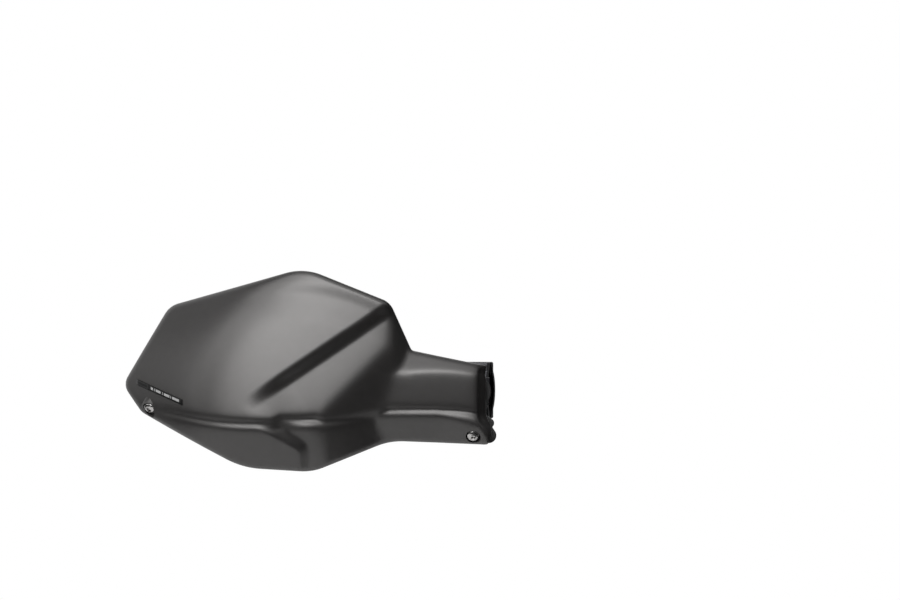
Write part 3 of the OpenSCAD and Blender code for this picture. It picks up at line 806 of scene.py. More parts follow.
def outward(mesh, merge=1e-4):
    """Merges doubles and turns all faces outward."""
    work = bmesh.new()
    work.from_mesh(mesh)
    bmesh.ops.remove_doubles(work, verts=work.verts, dist=merge)
    bmesh.ops.recalc_face_normals(work, faces=work.faces)
    work.to_mesh(mesh)
    work.free()
    return mesh


# %% Turns and moves of a frame
def turned(degrees, axis):
    return Matrix.Rotation(math.radians(degrees), 4, axis)


def moved(x, y, z):
    return Matrix.Translation((x, y, z))


TO_METRES = Matrix.Scale(MM, 4)
YAWED = turned(YAW, "Z")


# %% Frames of the two shell screws
def screw_frame(u, z, turn, tilt):
    gap = min((z - bottom_at(u)) * 0.9, (top_at(u) - z) * 0.9, END_U - u)
    inward = EDGE_R - min(max(gap, 0), EDGE_R)
    w = front_form(u, z) + EDGE_R - math.sqrt(EDGE_R**2 - inward**2)
    return YAWED @ (moved(u, w, z) @ turned(turn, "Z")) @ turned(tilt - 90, "X")


INNER_SCREW = screw_frame(-2.0, -32.6, 0, 36)
OUTER_SCREW = screw_frame(-236.2, -13.6, -34, 43)
for label, matrix, node in (("inner", INNER_SCREW, "inner_bush"), ("outer", OUTER_SCREW, "outer_bush")):
    low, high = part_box(node)
    miss = ((low + high) / 2 - TO_METRES @ (matrix @ Vector((0, 0, 5.4)))).length / MM
    print(label, "screw's frame lies", round(miss, 2), "mm from its bush's middle")

# %% Sizes of the shell screws' fittings in mm
SCREW_D = 5
HEAD_D = 9.5
HEAD_H = 2.75
RECESS_D = 10.8
RECESS_DEPTH = 4.4
FLANGE_T = 1
FLOOR_IN = RECESS_DEPTH + WALL
BUSH_D = SCREW_D + 1.8
NECK_D = BUSH_D + 2
BOSS_FACE = FLOOR_IN + FLANGE_T
BUSH_TOP = RECESS_DEPTH - 2 * FLANGE_T
BOSS_D = 14


# %% Bosses and recesses of the shell
def placed(mesh, matrix):
    mesh.transform(TO_METRES @ matrix)
    return mesh


def cylinder(radius, low, high, matrix, segments=64):
    profile = [(0, low), (radius, low), (radius, high), (0, high)]
    return placed(outward(turned_mesh("tool", profile, segments)), matrix)


def joined(name, meshes):
    """Several meshes as one object's mesh."""
    work = bmesh.new()
    for mesh in meshes:
        work.from_mesh(mesh)
    made = bpy.data.meshes.new(name)
    work.to_mesh(made)
    work.free()
    return made


def close_slits(obj):
    """Merges the points that a Boolean leaves a few microns apart."""
    work = bmesh.new()
    work.from_mesh(obj.data)
    bmesh.ops.remove_doubles(work, verts=work.verts, dist=0.002 * MM)
    bmesh.ops.dissolve_degenerate(work, edges=work.edges, dist=0.001 * MM)
    work.to_mesh(obj.data)
    work.free()
    return obj


def combine(obj, meshes, operation):
    """Adds meshes to an object or cuts them out of it, one after the other, for good."""
    for mesh in meshes:
        tool = link_object("tool", mesh)
        modifier = obj.modifiers.new(operation.lower(), "BOOLEAN")
        modifier.operation = operation
        modifier.solver = "EXACT"
        modifier.object = tool
        plain_result(obj)
        bpy.data.objects.remove(tool)
    return close_slits(obj)


def bore_profile():
    neck = NECK_D / 2 + 0.1
    flat = BOSS_D / 2 + 0.3
    return [(0, -RECESS_D), (RECESS_D / 2, -RECESS_D), (RECESS_D / 2, RECESS_DEPTH - 0.5),
            (RECESS_D / 2 - 0.5, RECESS_DEPTH), (neck, RECESS_DEPTH), (neck, FLOOR_IN), (flat, FLOOR_IN),
            (flat, FLOOR_IN + RECESS_D), (0, FLOOR_IN + RECESS_D)]


def bore(matrix):
    return placed(outward(turned_mesh("bore", bore_profile(), 96)), matrix)


screw_frames = (INNER_SCREW, OUTER_SCREW)
bosses = [cylinder(RECESS_D / 2 + 1.3, 1.2, FLOOR_IN, m, 96) for m in screw_frames]
combine(shell, [joined("bosses", bosses)], "UNION")
combine(shell, [joined("bores", [bore(m) for m in screw_frames])], "DIFFERENCE")
print("shell with recesses:", len(shell.data.polygons), "faces")


def shade(obj, crisp=35):
    for polygon in obj.data.polygons:
        polygon.use_smooth = True
    obj.data.set_sharp_from_angle(angle=math.radians(crisp))
    return obj


def finish_piece(obj, slot, *nodes):
    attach(obj, "root")
    if nodes:
        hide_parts(*nodes)
    return obj


finish_piece(shade(shell, 40), "shell_plastic", "guard_shell")

# %% [markdown]
# The badge is a thin glossy strip, glued to the outer face. It follows the skin, so it is made from
# the same rule: a narrow sheet with a crowned face. Its lettering is left off and a few plain grey
# bars take its place. They are printed, so they are colour and not shape: the strip's own UV map
# runs from 0 to 1 along it and across it, and the material draws the bars there.

# %% Badge strip
BADGE_MIDDLE = (-228.5, -0.5)
BADGE_SLOPE = -22
BADGE_L = 37
BADGE_H = 4.4
BADGE_SEAT = 0.15
BADGE_T = 0.7
BADGE_CUTS = (64, 12)


def skin_slopes(u, z):
    return soft_form(u + 0.5, z) - soft_form(u - 0.5, z), soft_form(u, z + 0.5) - soft_form(u, z - 0.5)


def in_row(u, w, z):
    """From the shell's frame in mm to the row frame in metres."""
    c, s = math.cos(math.radians(YAW)), math.sin(math.radians(YAW))
    return ((u * c - w * s) * MM, (u * s + w * c) * MM, z * MM)


def badge_mesh():
    a = math.radians(BADGE_SLOPE)
    m, n = BADGE_CUTS
    vertices, uvs = [], []
    for face in (1, 0):
        for i in range(m + 1):
            for j in range(n + 1):
                s, t = i / m - 0.5, j / n - 0.5
                u = BADGE_MIDDLE[0] + s * BADGE_L * math.cos(a)
                z = BADGE_MIDDLE[1] + s * BADGE_L * math.sin(a) + t * BADGE_H
                side = min((0.5 - abs(s)) * BADGE_L, (0.5 - abs(t)) * BADGE_H)
                rise = BADGE_T * math.sqrt(1 - (1 - min(side / 0.5, 1)) ** 2) if face else 0
                su, sz = skin_slopes(u, z)
                w = front_form(u, z) - (BADGE_SEAT + rise) * math.sqrt(1 + su**2 + sz**2)
                vertices.append(in_row(u, float(w), z))
                uvs.append((i / m, j / n))
    size = (m + 1) * (n + 1)
    polygons = np.vstack([sheet_faces(m + 1, n + 1, 0, True), sheet_faces(m + 1, n + 1, size, False)])
    mesh = mesh_from("badge", vertices, polygons)
    layer_uv = mesh.uv_layers.new(name="strip")
    for corner in mesh.loops:
        layer_uv.data[corner.index].uv = uvs[corner.vertex_index]
    return outward(mesh, 1e-7)


# %% Glossy black with printed bars
BARS = ((0.31, 0.36), (0.385, 0.40), (0.42, 0.53), (0.56, 0.575), (0.60, 0.72), (0.74, 0.755), (0.78, 0.93))
FRAME_LINE = (0.02, 0.25)
LINE_WIDTH = 0.012
BADGE_BLACK, BAR_GREY, LINE_GREY = 0.006, 0.36, 0.08


def band_mask(x, low, high, soft):
    """1 between low and high, with soft sides."""
    return ease(low - soft, low + soft, x) * (1 - ease(high - soft, high + soft, x))


def badge_finish():
    material, graph, bsdf = new_material("badge_plastic", Specular_IOR_Level=0.25, Coat_Roughness=0.12)
    place = graph.add("ShaderNodeSeparateXYZ", {0: graph.add("ShaderNodeUVMap", uv_map="strip")})
    x, y = place, place.beside("Y")
    marks = 0
    for low, high in BARS:
        marks = band_mask(x, low, high, 0.004) + marks
    marks = marks * band_mask(y, 0.3, 0.7, 0.05)
    outer = band_mask(x, *FRAME_LINE, 0.003) * band_mask(y, 0.16, 0.84, 0.04)
    hollow = band_mask(x, FRAME_LINE[0] + LINE_WIDTH, FRAME_LINE[1] - LINE_WIDTH, 0.003)
    inner = hollow * band_mask(y, 0.26, 0.74, 0.04)
    coords = object_coords(graph)
    dust = noise(graph, coords, 3, 4, 0.6)
    print_tone = mix_colour(graph, marks, grey(BADGE_BLACK), grey(BAR_GREY))
    feed(graph, bsdf,
         Base_Color=mix_colour(graph, (outer - inner) * 0.35, print_tone, grey(LINE_GREY)),
         Roughness=0.28 + 0.12 * dust + 0.15 * marks,
         Coat_Weight=0.2 - 0.1 * marks,
         Normal=bump(graph, noise(graph, coords, 1.4, 2), 0.02, 0.3))
    return material


badge = link_object("badge_strip", badge_mesh())
badge.data.materials.append(badge_finish())
finish_piece(shade(badge), "badge_plastic", "side_badge")
print("badge:", len(badge.data.polygons), "faces")

# %% [markdown]
# Fasteners, washers, bushes and the bar end's parts came off a lathe, so each is a profile spun
# round an axis. `rounded` breaks their corners, which catch light on the real part. What runs round
# them in a rule, such as a thread, a knurl or the ribs of a rubber sleeve, is one Geometry Nodes
# tree: a groove whose phase turns with the angle and climbs with the height. With one turn and a
# climb it is a thread, and with many turns and no climb it is a knurl.

# %% The tree that cuts threads, knurls and ribs
GROOVE_INPUTS = ("Turns", "Climb per mm", "Depth", "From", "To", "Beyond radius")
groove, blank = new_tree("cut_grooves", {**dict.fromkeys(GROOVE_INPUTS, NUMBER), "Material": PAINT})
turns, climb, cut_depth, cut_from, cut_to, beyond = (blank.beside(name) for name in GROOVE_INPUTS)
spot = groove.add("ShaderNodeSeparateXYZ", {0: groove.add("GeometryNodeInputPosition")})
spot_y, spot_z = spot.beside("Y"), spot.beside("Z")
radius = root(spot * spot + spot_y * spot_y)
angle = spot_y.maths("ARCTAN2", spot)
phase = (turns * angle * (0.5 / math.pi) + climb * spot_z).maths("FRACT")
wave = 1 - (2 * phase - 1).maths("ABSOLUTE")
inside = spot_z.maths("GREATER_THAN", cut_from) * spot_z.maths("LESS_THAN", cut_to)
inside = inside * radius.maths("GREATER_THAN", beyond)
shrink = 1 - cut_depth * wave * inside / at_least(radius, 1e-5)
cut_place = groove.add("ShaderNodeCombineXYZ", {"X": spot * shrink, "Y": spot_y * shrink, "Z": spot_z})
cut = groove.add("GeometryNodeSetPosition", {"Geometry": blank, "Position": cut_place})
close_tree(groove, cut, blank.beside("Material"))
print("cut_grooves has", len(groove.tree.nodes), "nodes")


# %% Profiles in mm
def dense(profile, low, high, step):
    """The profile with extra points on its upright stretches between two heights."""
    made = [profile[0]]
    for a, b in zip(profile[:-1], profile[1:]):
        rise = b[1] - a[1]
        upright = abs(a[0] - b[0]) < 1e-6
        between = min(a[1], b[1]) >= low - 1e-6 and max(a[1], b[1]) <= high + 1e-6
        if upright and between and abs(rise) > step:
            count = int(abs(rise) / step)
            made += [(a[0], a[1] + rise * i / count) for i in range(1, count)]
        made.append(b)
    return made


def ring_profile(outer, inner, low, high, edge=0.25):
    """A washer or a tube: its section, with broken corners."""
    e = min(edge, (outer - inner) / 2 - 0.05, (high - low) / 2 - 0.05)
    r0, r1 = inner / 2, outer / 2
    middle = (r0, (low + high) / 2)
    corners = [middle, (r0, low, e), (r1, low, e), (r1, high, e), (r0, high, e), middle]
    return [tuple(p) for p in rounded(corners, 3)][:-1]


def turned_piece(name, profile, matrix, material, segments=72, six=(), ring=False, cuts=(), crisp=35):
    """Spins a profile, cuts its grooves and puts it in place. cuts has a dict of inputs for each."""
    closed = [*profile, profile[0]] if ring else profile
    obj = link_object(name, outward(turned_mesh(name, closed, segments, six)))
    for inputs in cuts:
        run_tree(obj, groove, {**inputs, "Material": material})
    if not cuts:
        obj.data.materials.append(material)
    obj.data.transform(TO_METRES @ matrix)
    return shade(obj, crisp)


# %% Bare and plated steel, with turning marks round each piece's own axis
def steel_finish(name, matrix, colour, dull, blotch, marks=0.35):
    material, graph, bsdf = new_material(name, Metallic=1.0)
    coords = object_coords(graph, TO_METRES @ matrix @ TO_METRES.inverted())
    place = graph.add("ShaderNodeSeparateXYZ", {0: coords})
    y, z = place.beside("Y"), place.beside("Z")
    out = root(place * place + y * y)
    rings = noise(graph, graph.add("ShaderNodeCombineXYZ", {"X": out, "Y": z}), 0.12, 4, 0.7)
    cloud = noise(graph, coords, 2.6, 3)
    tone = mix_colour(graph, cloud * blotch, (*colour, 1), (*(c * 0.55 for c in colour), 1))
    feed(graph, bsdf,
         Base_Color=tone,
         Roughness=dull + 0.14 * rings + 0.1 * cloud,
         Normal=bump(graph, rings, 0.02, marks))
    return material


STAINLESS = (0.55, 0.54, 0.53)
ZINC = (0.55, 0.56, 0.55)


def stainless(name, matrix):
    return steel_finish(name, matrix, STAINLESS, 0.1, 0.25)


def zinc(name, matrix):
    return steel_finish(name, matrix, ZINC, 0.3, 0.7, 0.2)


# %% Rubber and the black coats
def rubber_finish(name, tone):
    material, graph, bsdf = new_material(name, Specular_IOR_Level=0.35)
    coords = object_coords(graph)
    skin = noise(graph, coords, 0.5, 3)
    bloom = noise(graph, coords, 5, 2)
    feed(graph, bsdf,
         Base_Color=mix_colour(graph, bloom * 0.6, (tone, tone, tone * 1.02, 1), grey(tone * 2.1)),
         Roughness=0.66 + 0.18 * bloom,
         Normal=bump(graph, skin, 0.04, 0.5))
    return material


def coat_finish(name, tone, orange_peel, gloss):
    """Powder coat or paint: a fine orange peel and a little dust in it."""
    material, graph, bsdf = new_material(name, Specular_IOR_Level=0.5, Coat_Roughness=0.3)
    coords = object_coords(graph)
    peel = noise(graph, coords, orange_peel, 2)
    speck = noise(graph, coords, 0.35, 2, 0.8)
    cloud = noise(graph, coords, 12, 2)
    dusty = (tone * 2, tone * 2, tone * 2.1, 1)
    feed(graph, bsdf,
         Base_Color=mix_colour(graph, ease(0.55, 0.8, speck), grey(tone), dusty),
         Roughness=gloss + 0.1 * cloud,
         Coat_Weight=0.25 + 0.2 * cloud,
         Normal=bump(graph, peel, 0.12, 0.35))
    return material


arm_paint = coat_finish("arm_paint", 0.019, 1.1, 0.42)
weight_paint = coat_finish("weight_paint", 0.021, 0.7, 0.36)
grommet_rubber = rubber_finish("grommet_rubber", 0.018)
sleeve_rubber = rubber_finish("sleeve_rubber", 0.022)

# %% [markdown]
# A button head screw has a low dome and a hexagon socket. In the profile below the points of the
# socket follow a hexagon and all others a circle, so that head, socket, shank and thread are one
# closed skin, as they are one piece of steel.


# %% Screws and bolts
THREAD_DEPTH_SHARE = 0.55
SCREW_L = 14
SOCKET_R, SOCKET_DEPTH = 1.5, 1.65


def cut_inputs(turns, climb, depth, low, high, beyond):
    return dict(zip(GROOVE_INPUTS, (turns, climb, depth, low, high, beyond)))


def thread_cut(diameter, pitch, low, high):
    return cut_inputs(1.0, 1 / pitch, pitch * THREAD_DEPTH_SHARE, low, high, diameter * 0.4)


def screw_profile(shank_d, low, high, head, socket_r, socket_depth, head_top):
    """Points from the socket's floor over the head and down the shank; Z grows along the shank."""
    floor = head_top + socket_depth
    socket = [(0, floor + 0.35), (socket_r * 0.92, floor), (socket_r, floor - 0.05),
              (socket_r, head_top + 0.18), (socket_r + 0.16, head_top)]
    shank = [(shank_d / 2, low), (shank_d / 2, high - 0.7), (shank_d / 2 - 0.7, high), (0, high)]
    return [*socket, *head, *shank], (1, 2, 3)


def steel_screw(name, node, profile, matrix, segments, six, cuts):
    material = stainless(name + "_steel", matrix)
    obj = turned_piece(name, profile, matrix, material, segments, six, cuts=cuts, crisp=30)
    return finish_piece(obj, "stainless", node)


def button_screw(name, node, matrix):
    top = BUSH_TOP - HEAD_H
    dome = [(HEAD_D / 2 * math.sin(a), BUSH_TOP - 0.55 - (HEAD_H - 0.55) * math.cos(a))
            for a in np.radians(np.linspace(27, 90, 10))]
    rim = [(HEAD_D / 2, BUSH_TOP - 0.15), (HEAD_D / 2 - 0.15, BUSH_TOP)]
    head = [(p[0], max(p[1], top)) for p in dome] + rim
    end = BUSH_TOP + SCREW_L
    profile, six = screw_profile(SCREW_D, BUSH_TOP, end, head, SOCKET_R, SOCKET_DEPTH, top)
    cuts = [thread_cut(SCREW_D, 0.8, BUSH_TOP + 1.2, end - 0.6)]
    return steel_screw(name, node, dense(profile, BUSH_TOP, end, 0.1), matrix, 72, six, cuts)


def cap_screw(name, node, matrix, shank_d, length, head_d, head_l, pitch):
    """A socket cap screw whose head stands on Z = 0 and whose shank runs down to -length."""
    flipped = matrix @ turned(180, "X")
    e = 0.35
    head = [(head_d / 2 - e, -head_l), (head_d / 2 - 0.1, -head_l + 0.1), (head_d / 2, -head_l + e),
            (head_d / 2, -0.3), (head_d / 2 - 0.2, 0)]
    profile, six = screw_profile(shank_d, 0, length, head, shank_d * 0.41, head_l * 0.5, -head_l)
    profile = dense(dense(profile, 0, length, pitch / 8), -head_l, 0, 0.3)
    knurl = cut_inputs(36.0, 0.0, 0.16, -head_l + 0.9, -0.7, head_d * 0.45)
    start = max(1.5, length - 24)
    cuts = [thread_cut(shank_d, pitch, start, length - 0.8), knurl]
    return steel_screw(name, node, profile, flipped, 144, six, cuts)


# %% Frames of the arm's bolt, the clamp's screws and the bar end
BAR_D = 22.2
LUG_REACH = 26
ARM_T = 5
ARM_BOLT_D = 6
WASHER_T = 1.2
CLAMP_SCREW_D = 5
EAR_D = 10
CLAMP_SCREW_Z = BAR_D / 2 + CLAMP_SCREW_D / 2 + 2
BOLT_IN = 0.6 * (LUG_REACH - BAR_D / 2)
CAP_HEAD = 1.65
THREAD_DEPTH = 11
BAR_END_X = 222
ARM_AXIS = YAWED @ turned(90, "X")
BAR_END = moved(-BAR_END_X, 0, 0) @ turned(-90, "Y")


def clamp_axis(side):
    return moved(0, 0, side * CLAMP_SCREW_Z) @ turned(-90, "X")


# %% Washers, bushes and grommets as rings: zinc has turning marks, so each such ring has its own
RING_MATERIALS = {
    "grommet_rubber": grommet_rubber, "sleeve_rubber": sleeve_rubber, "weight_paint": weight_paint,
}


def ring_piece(node, slot, matrix, profile, segments=72, cuts=()):
    material = RING_MATERIALS[slot] if slot in RING_MATERIALS else zinc(node + "_zinc", matrix)
    obj = turned_piece(node + "_fine", profile, matrix, material, segments, ring=True, cuts=cuts)
    return finish_piece(obj, slot, node)


def washer(node, matrix, outer, inner, low, high):
    return ring_piece(node, "zinc_steel", matrix, ring_profile(outer, inner, low, high))


# %% The two shell screws with their bushes and grommets
BUSH_HOLE_R = SCREW_D / 2 + 0.1
GROMMET_HOLE_R = BUSH_D / 2 + 0.1
GROMMET_TOP = RECESS_DEPTH - FLANGE_T


def soft_corner(*chain):
    return map(tuple, rounded(chain, 4))


for side, matrix in (("inner", INNER_SCREW), ("outer", OUTER_SCREW)):
    button_screw(side + "_button_screw", side + "_shell_screw", matrix)
    bush = [(BUSH_HOLE_R, BUSH_TOP), (HEAD_D / 2 - 0.15, BUSH_TOP), (HEAD_D / 2, BUSH_TOP + 0.15),
            (HEAD_D / 2, BUSH_TOP + FLANGE_T), (BUSH_D / 2, BUSH_TOP + FLANGE_T),
            (BUSH_D / 2, BOSS_FACE - 0.2), (BUSH_D / 2 - 0.2, BOSS_FACE), (BUSH_HOLE_R, BOSS_FACE)]
    ring_piece(side + "_bush", "zinc_steel", matrix, bush)
    head_r, rim_r = RECESS_D / 2 - 0.1, BOSS_D / 2
    _, *head = soft_corner((head_r - 1, GROMMET_TOP), (head_r, GROMMET_TOP, 0.45), (head_r, RECESS_DEPTH))
    foot = soft_corner((rim_r, FLOOR_IN), (rim_r, BOSS_FACE, 0.45), (rim_r - 1, BOSS_FACE))
    grommet = [(GROMMET_HOLE_R, GROMMET_TOP), *head, (NECK_D / 2, RECESS_DEPTH), (NECK_D / 2, FLOOR_IN),
               *foot, (GROMMET_HOLE_R, BOSS_FACE)]
    ring_piece(side + "_grommet", "grommet_rubber", matrix, grommet)

# %% The arm's bolt and the clamp's screws, each with its washer
arm_head = LUG_REACH + ARM_T + WASHER_T
cap_screw("arm_cap_bolt", "arm_bolt", ARM_AXIS @ moved(0, 0, arm_head), ARM_BOLT_D,
          ARM_T + WASHER_T + BOLT_IN, ARM_BOLT_D * CAP_HEAD, ARM_BOLT_D, 1.0)
washer("arm_washer", ARM_AXIS, 2 * ARM_BOLT_D, ARM_BOLT_D + 0.6, LUG_REACH + ARM_T, arm_head)
for side, place in ((1, "upper"), (-1, "lower")):
    axis = clamp_axis(side)
    cap_screw("clamp_cap_screw_" + place, "clamp_screw_" + place, axis @ moved(0, 0, EAR_D + 1),
              CLAMP_SCREW_D, EAR_D + 1 + THREAD_DEPTH - 1.5, CLAMP_SCREW_D * 1.7, CLAMP_SCREW_D, 0.8)
    washer("clamp_washer_" + place, axis, CLAMP_SCREW_D * 1.8, CLAMP_SCREW_D + 0.6, EAR_D, EAR_D + 1)
print("fasteners made")

# %% [markdown]
# The bar end: a turned weight with a groove and a counterbore for its bolt, and behind it, inside
# the handlebar, a rubber sleeve between a washer and a wedge. The bolt pulls the wedge and the
# sleeve swells. Its ribs are the groove tree again, with many turns and no climb.

# %% Bar end weight, expander and their bolt
WEIGHT_D = 28
WEIGHT_L = 20
BRACKET_T = 5
END_BOLT_D = 6
END_HEAD_D = END_BOLT_D * CAP_HEAD
END_HOLE_R = END_BOLT_D / 2 + 0.3
WEIGHT_END = BRACKET_T + WEIGHT_L
END_SEAT = WEIGHT_END - (END_BOLT_D + WASHER_T + 1.6)
COUNTER_R = (END_HEAD_D + 1.6) / 2
GROOVE_Z = BRACKET_T + WEIGHT_L * 0.34
GROOVE_R = 0.8
WEIGHT_R = WEIGHT_D / 2
half_turn = np.linspace(0, math.pi, 9)
groove_arc = [(WEIGHT_R - GROOVE_R * math.sin(a), GROOVE_Z - GROOVE_R * math.cos(a)) for a in half_turn]
nose = rounded([(WEIGHT_R, GROOVE_Z + 2), (WEIGHT_R, WEIGHT_END - 2, 1.5), (WEIGHT_R - 2, WEIGHT_END, 0.6),
                (COUNTER_R + 1, WEIGHT_END)], 5)[1:-1]
weight_profile = [
    (END_HOLE_R, BRACKET_T), (WEIGHT_R - 0.4, BRACKET_T), (WEIGHT_R, BRACKET_T + 0.4), *groove_arc,
    *map(tuple, nose), (COUNTER_R + 0.4, WEIGHT_END), (COUNTER_R, WEIGHT_END - 0.4), (COUNTER_R, END_SEAT),
    (END_HOLE_R, END_SEAT),
]
ring_piece("bar_end_weight", "weight_paint", BAR_END, weight_profile, 128)
washer("bar_end_washer", BAR_END, END_HEAD_D + 1, 2 * END_HOLE_R, END_SEAT, END_SEAT + WASHER_T)

# %% Expander in the handlebar, and the bolt through all of it
SLEEVE_D = 15.6
SLEEVE_END = WASHER_T + 24
WEDGE_L = 9
WEDGE_END = -SLEEVE_END - WEDGE_L
cap_screw("bar_end_cap_bolt", "bar_end_bolt", BAR_END @ moved(0, 0, END_SEAT + WASHER_T), END_BOLT_D,
          END_SEAT + WASHER_T + SLEEVE_END + WEDGE_L + 1.5, END_HEAD_D, END_BOLT_D, 1.0)
washer("expander_washer", BAR_END, SLEEVE_D - 1, 2 * END_HOLE_R, -WASHER_T, 0)
tube = ring_profile(SLEEVE_D, 2 * END_HOLE_R, -SLEEVE_END, -WASHER_T, 0.5)
ribs = cut_inputs(24.0, 0.0, 0.5, -SLEEVE_END + 2, -WASHER_T - 2, SLEEVE_D * 0.4)
ring_piece("expander_sleeve", "sleeve_rubber", BAR_END, dense(tube, -SLEEVE_END, 0, 1.5), 192, [ribs])
wedge_r, wedge_hole = (SLEEVE_D - 0.6) / 2, END_BOLT_D / 2 + 0.05
wedge_profile = [(wedge_hole, WEDGE_END + 0.4), (wedge_hole + 0.4, WEDGE_END), (wedge_r - 1.9, WEDGE_END),
                 (wedge_r - 1.6, WEDGE_END + 0.25), (wedge_r, WEDGE_END + 3), (wedge_r, -SLEEVE_END - 0.3),
                 (wedge_r - 0.3, -SLEEVE_END), (wedge_hole, -SLEEVE_END)]
ring_piece("expander_wedge", "zinc_steel", BAR_END, wedge_profile)
print("bar end made")

# %% [markdown]
# The arm and the bracket are aluminium castings: soft edges everywhere, and flat faces only where a
# cutter went over them. That is also how they are made here. Plain solids are joined, a voxel remesh
# melts them into one skin and a smoothing rounds its edges. Then Booleans machine the seats and the
# holes, so that those edges stay sharp.


# %% Castings
def flat_hull(circles, low, high, steps=40):
    """The hull of some circles (x, y, radius), between two heights."""
    turns = [2 * math.pi * i / steps for i in range(steps)]
    spots = [Vector((x + r * math.cos(a), y + r * math.sin(a))) for x, y, r in circles for a in turns]
    ring = [spots[i] for i in convex_hull_2d(spots)]
    n = len(ring)
    vertices = [(p.x, p.y, h) for h in (low, high) for p in ring]
    sides = [(i, (i + 1) % n, n + (i + 1) % n, n + i) for i in range(n)]
    return outward(mesh_from("plate", vertices, [tuple(range(n)), tuple(range(n, 2 * n)), *sides]))


def hull_of(meshes):
    hull = joined("hull", meshes)
    work = bmesh.new()
    work.from_mesh(hull)
    made = bmesh.ops.convex_hull(work, input=work.verts)
    loose = {v for v in made["geom_interior"] + made["geom_unused"] if isinstance(v, bmesh.types.BMVert)}
    bmesh.ops.delete(work, geom=list(loose), context="VERTS")
    work.to_mesh(hull)
    work.free()
    return outward(hull)


def cast(name, meshes, material, grain_mm=0.42, passes=5):
    """One rounded skin round some solids in metres."""
    obj = link_object(name, joined(name, meshes))
    remesh = obj.modifiers.new("melt", "REMESH")
    remesh.mode = "VOXEL"
    remesh.voxel_size = grain_mm * MM
    smooth = obj.modifiers.new("smooth", "SMOOTH")
    smooth.factor = 0.6
    smooth.iterations = passes
    plain_result(obj)
    obj.data.materials.clear()
    obj.data.materials.append(material)
    return obj


def box_mesh(low, high, matrix):
    """A plain block between two corners, in metres."""
    work = bmesh.new()
    bmesh.ops.create_cube(work, size=1)
    size = Vector(high) - Vector(low)
    middle = (Vector(high) + Vector(low)) / 2
    bmesh.ops.transform(work, verts=work.verts, matrix=moved(*middle) @ Matrix.Diagonal((*size, 1)))
    mesh = bpy.data.meshes.new("block")
    work.to_mesh(mesh)
    work.free()
    return placed(mesh, matrix)


# %% Inner arm
ARM_PAD_R = 11
FOOT_R = 8.5
LOBE_R, SMALL_LOBE_R = 5.5, 3.4
SCREW_END = BUSH_TOP + SCREW_L
THREAD_PLAY, HOLE_PLAY = 0.05, 0.3
inner_place = YAWED.inverted() @ INNER_SCREW
foot_end = (-LUG_REACH - inner_place.translation.y) / inner_place.col[2].y
foot = inner_place @ Vector((0, 0, foot_end))
FOOT = (foot.x, foot.z)
LOBE = (END_U + 3.6 - LOBE_R, -32)
SMALL_LOBE = (END_U + 2 - SMALL_LOBE_R, -23)
arm_low, arm_high = LUG_REACH, LUG_REACH + ARM_T
arm_plates = [
    flat_hull([(0, 0, ARM_PAD_R), (*FOOT, FOOT_R)], arm_low - 1, arm_high),
    flat_hull([(*FOOT, 6), (*LOBE, LOBE_R)], arm_low - 1, arm_high),
    flat_hull([(FOOT[0], FOOT[1] + 2, SMALL_LOBE_R), (*SMALL_LOBE, SMALL_LOBE_R)], arm_low - 1, arm_high),
]
arm_solids = [placed(plate, ARM_AXIS) for plate in arm_plates]
arm_solids.append(cylinder(BOSS_D / 2, BOSS_FACE - 0.6, foot_end + 1, INNER_SCREW))
arm_solids.append(placed(flat_hull([(0, 0, ARM_BOLT_D + 1.6)], arm_low, arm_high + 0.2), ARM_AXIS))
arm = cast("cast_arm", arm_solids, arm_paint)
arm_cuts = [
    box_mesh((-80, -LUG_REACH, -80), (80, 0, 80), YAWED),
    cylinder(BOSS_D, BOSS_FACE - 6, BOSS_FACE, INNER_SCREW),
    cylinder(SCREW_D / 2 + THREAD_PLAY, BOSS_FACE - 1, SCREW_END + 1.5, INNER_SCREW),
    cylinder(ARM_BOLT_D / 2 + HOLE_PLAY, arm_low - 2, arm_high + 2, ARM_AXIS),
    cylinder(ARM_BOLT_D + 0.4, arm_high, arm_high + 3, ARM_AXIS),
]
combine(arm, arm_cuts, "DIFFERENCE")
finish_piece(shade(arm, 40), "arm_paint", "inner_arm")
print("cast arm:", len(arm.data.polygons), "faces")

# %% Outer bracket
BRACKET_R = 12.5
BRACKET_BOSS_L = 13
bracket_hull = hull_of([
    cylinder(BRACKET_R, -0.4, BRACKET_T + 0.4, BAR_END),
    cylinder(BOSS_D / 2 - 1, BOSS_FACE + 5, BOSS_FACE + BRACKET_BOSS_L - 1, OUTER_SCREW),
])
bracket_boss = cylinder(BOSS_D / 2, BOSS_FACE - 0.6, BOSS_FACE + BRACKET_BOSS_L, OUTER_SCREW)
bracket = cast("cast_bracket", [bracket_hull, bracket_boss], arm_paint)
bracket_cuts = [
    cylinder(END_HOLE_R, -1, BRACKET_T + 1, BAR_END),
    cylinder(BAR_D / 2 + 0.8, -30, 0, BAR_END),
    cylinder(WEIGHT_D / 2 + 0.5, BRACKET_T, BRACKET_T + 30, BAR_END),
    cylinder(BOSS_D, BOSS_FACE - 6, BOSS_FACE, OUTER_SCREW),
    cylinder(SCREW_D / 2 + THREAD_PLAY, BOSS_FACE - 1, SCREW_END + 1.5, OUTER_SCREW),
]
combine(bracket, bracket_cuts, "DIFFERENCE")
finish_piece(shade(bracket, 40), "arm_paint", "outer_bracket")
print("cast bracket:", len(bracket.data.polygons), "faces")

# %% [markdown]
# The clamp halves are cut from aluminium bar and anodised black. Each is an outline drawn out along
# the handlebar, and its end edges are chamfered, also round the bore, so the outline is repeated a
# little smaller at both ends. The lug for the arm is added and the screw holes are cut by Booleans.

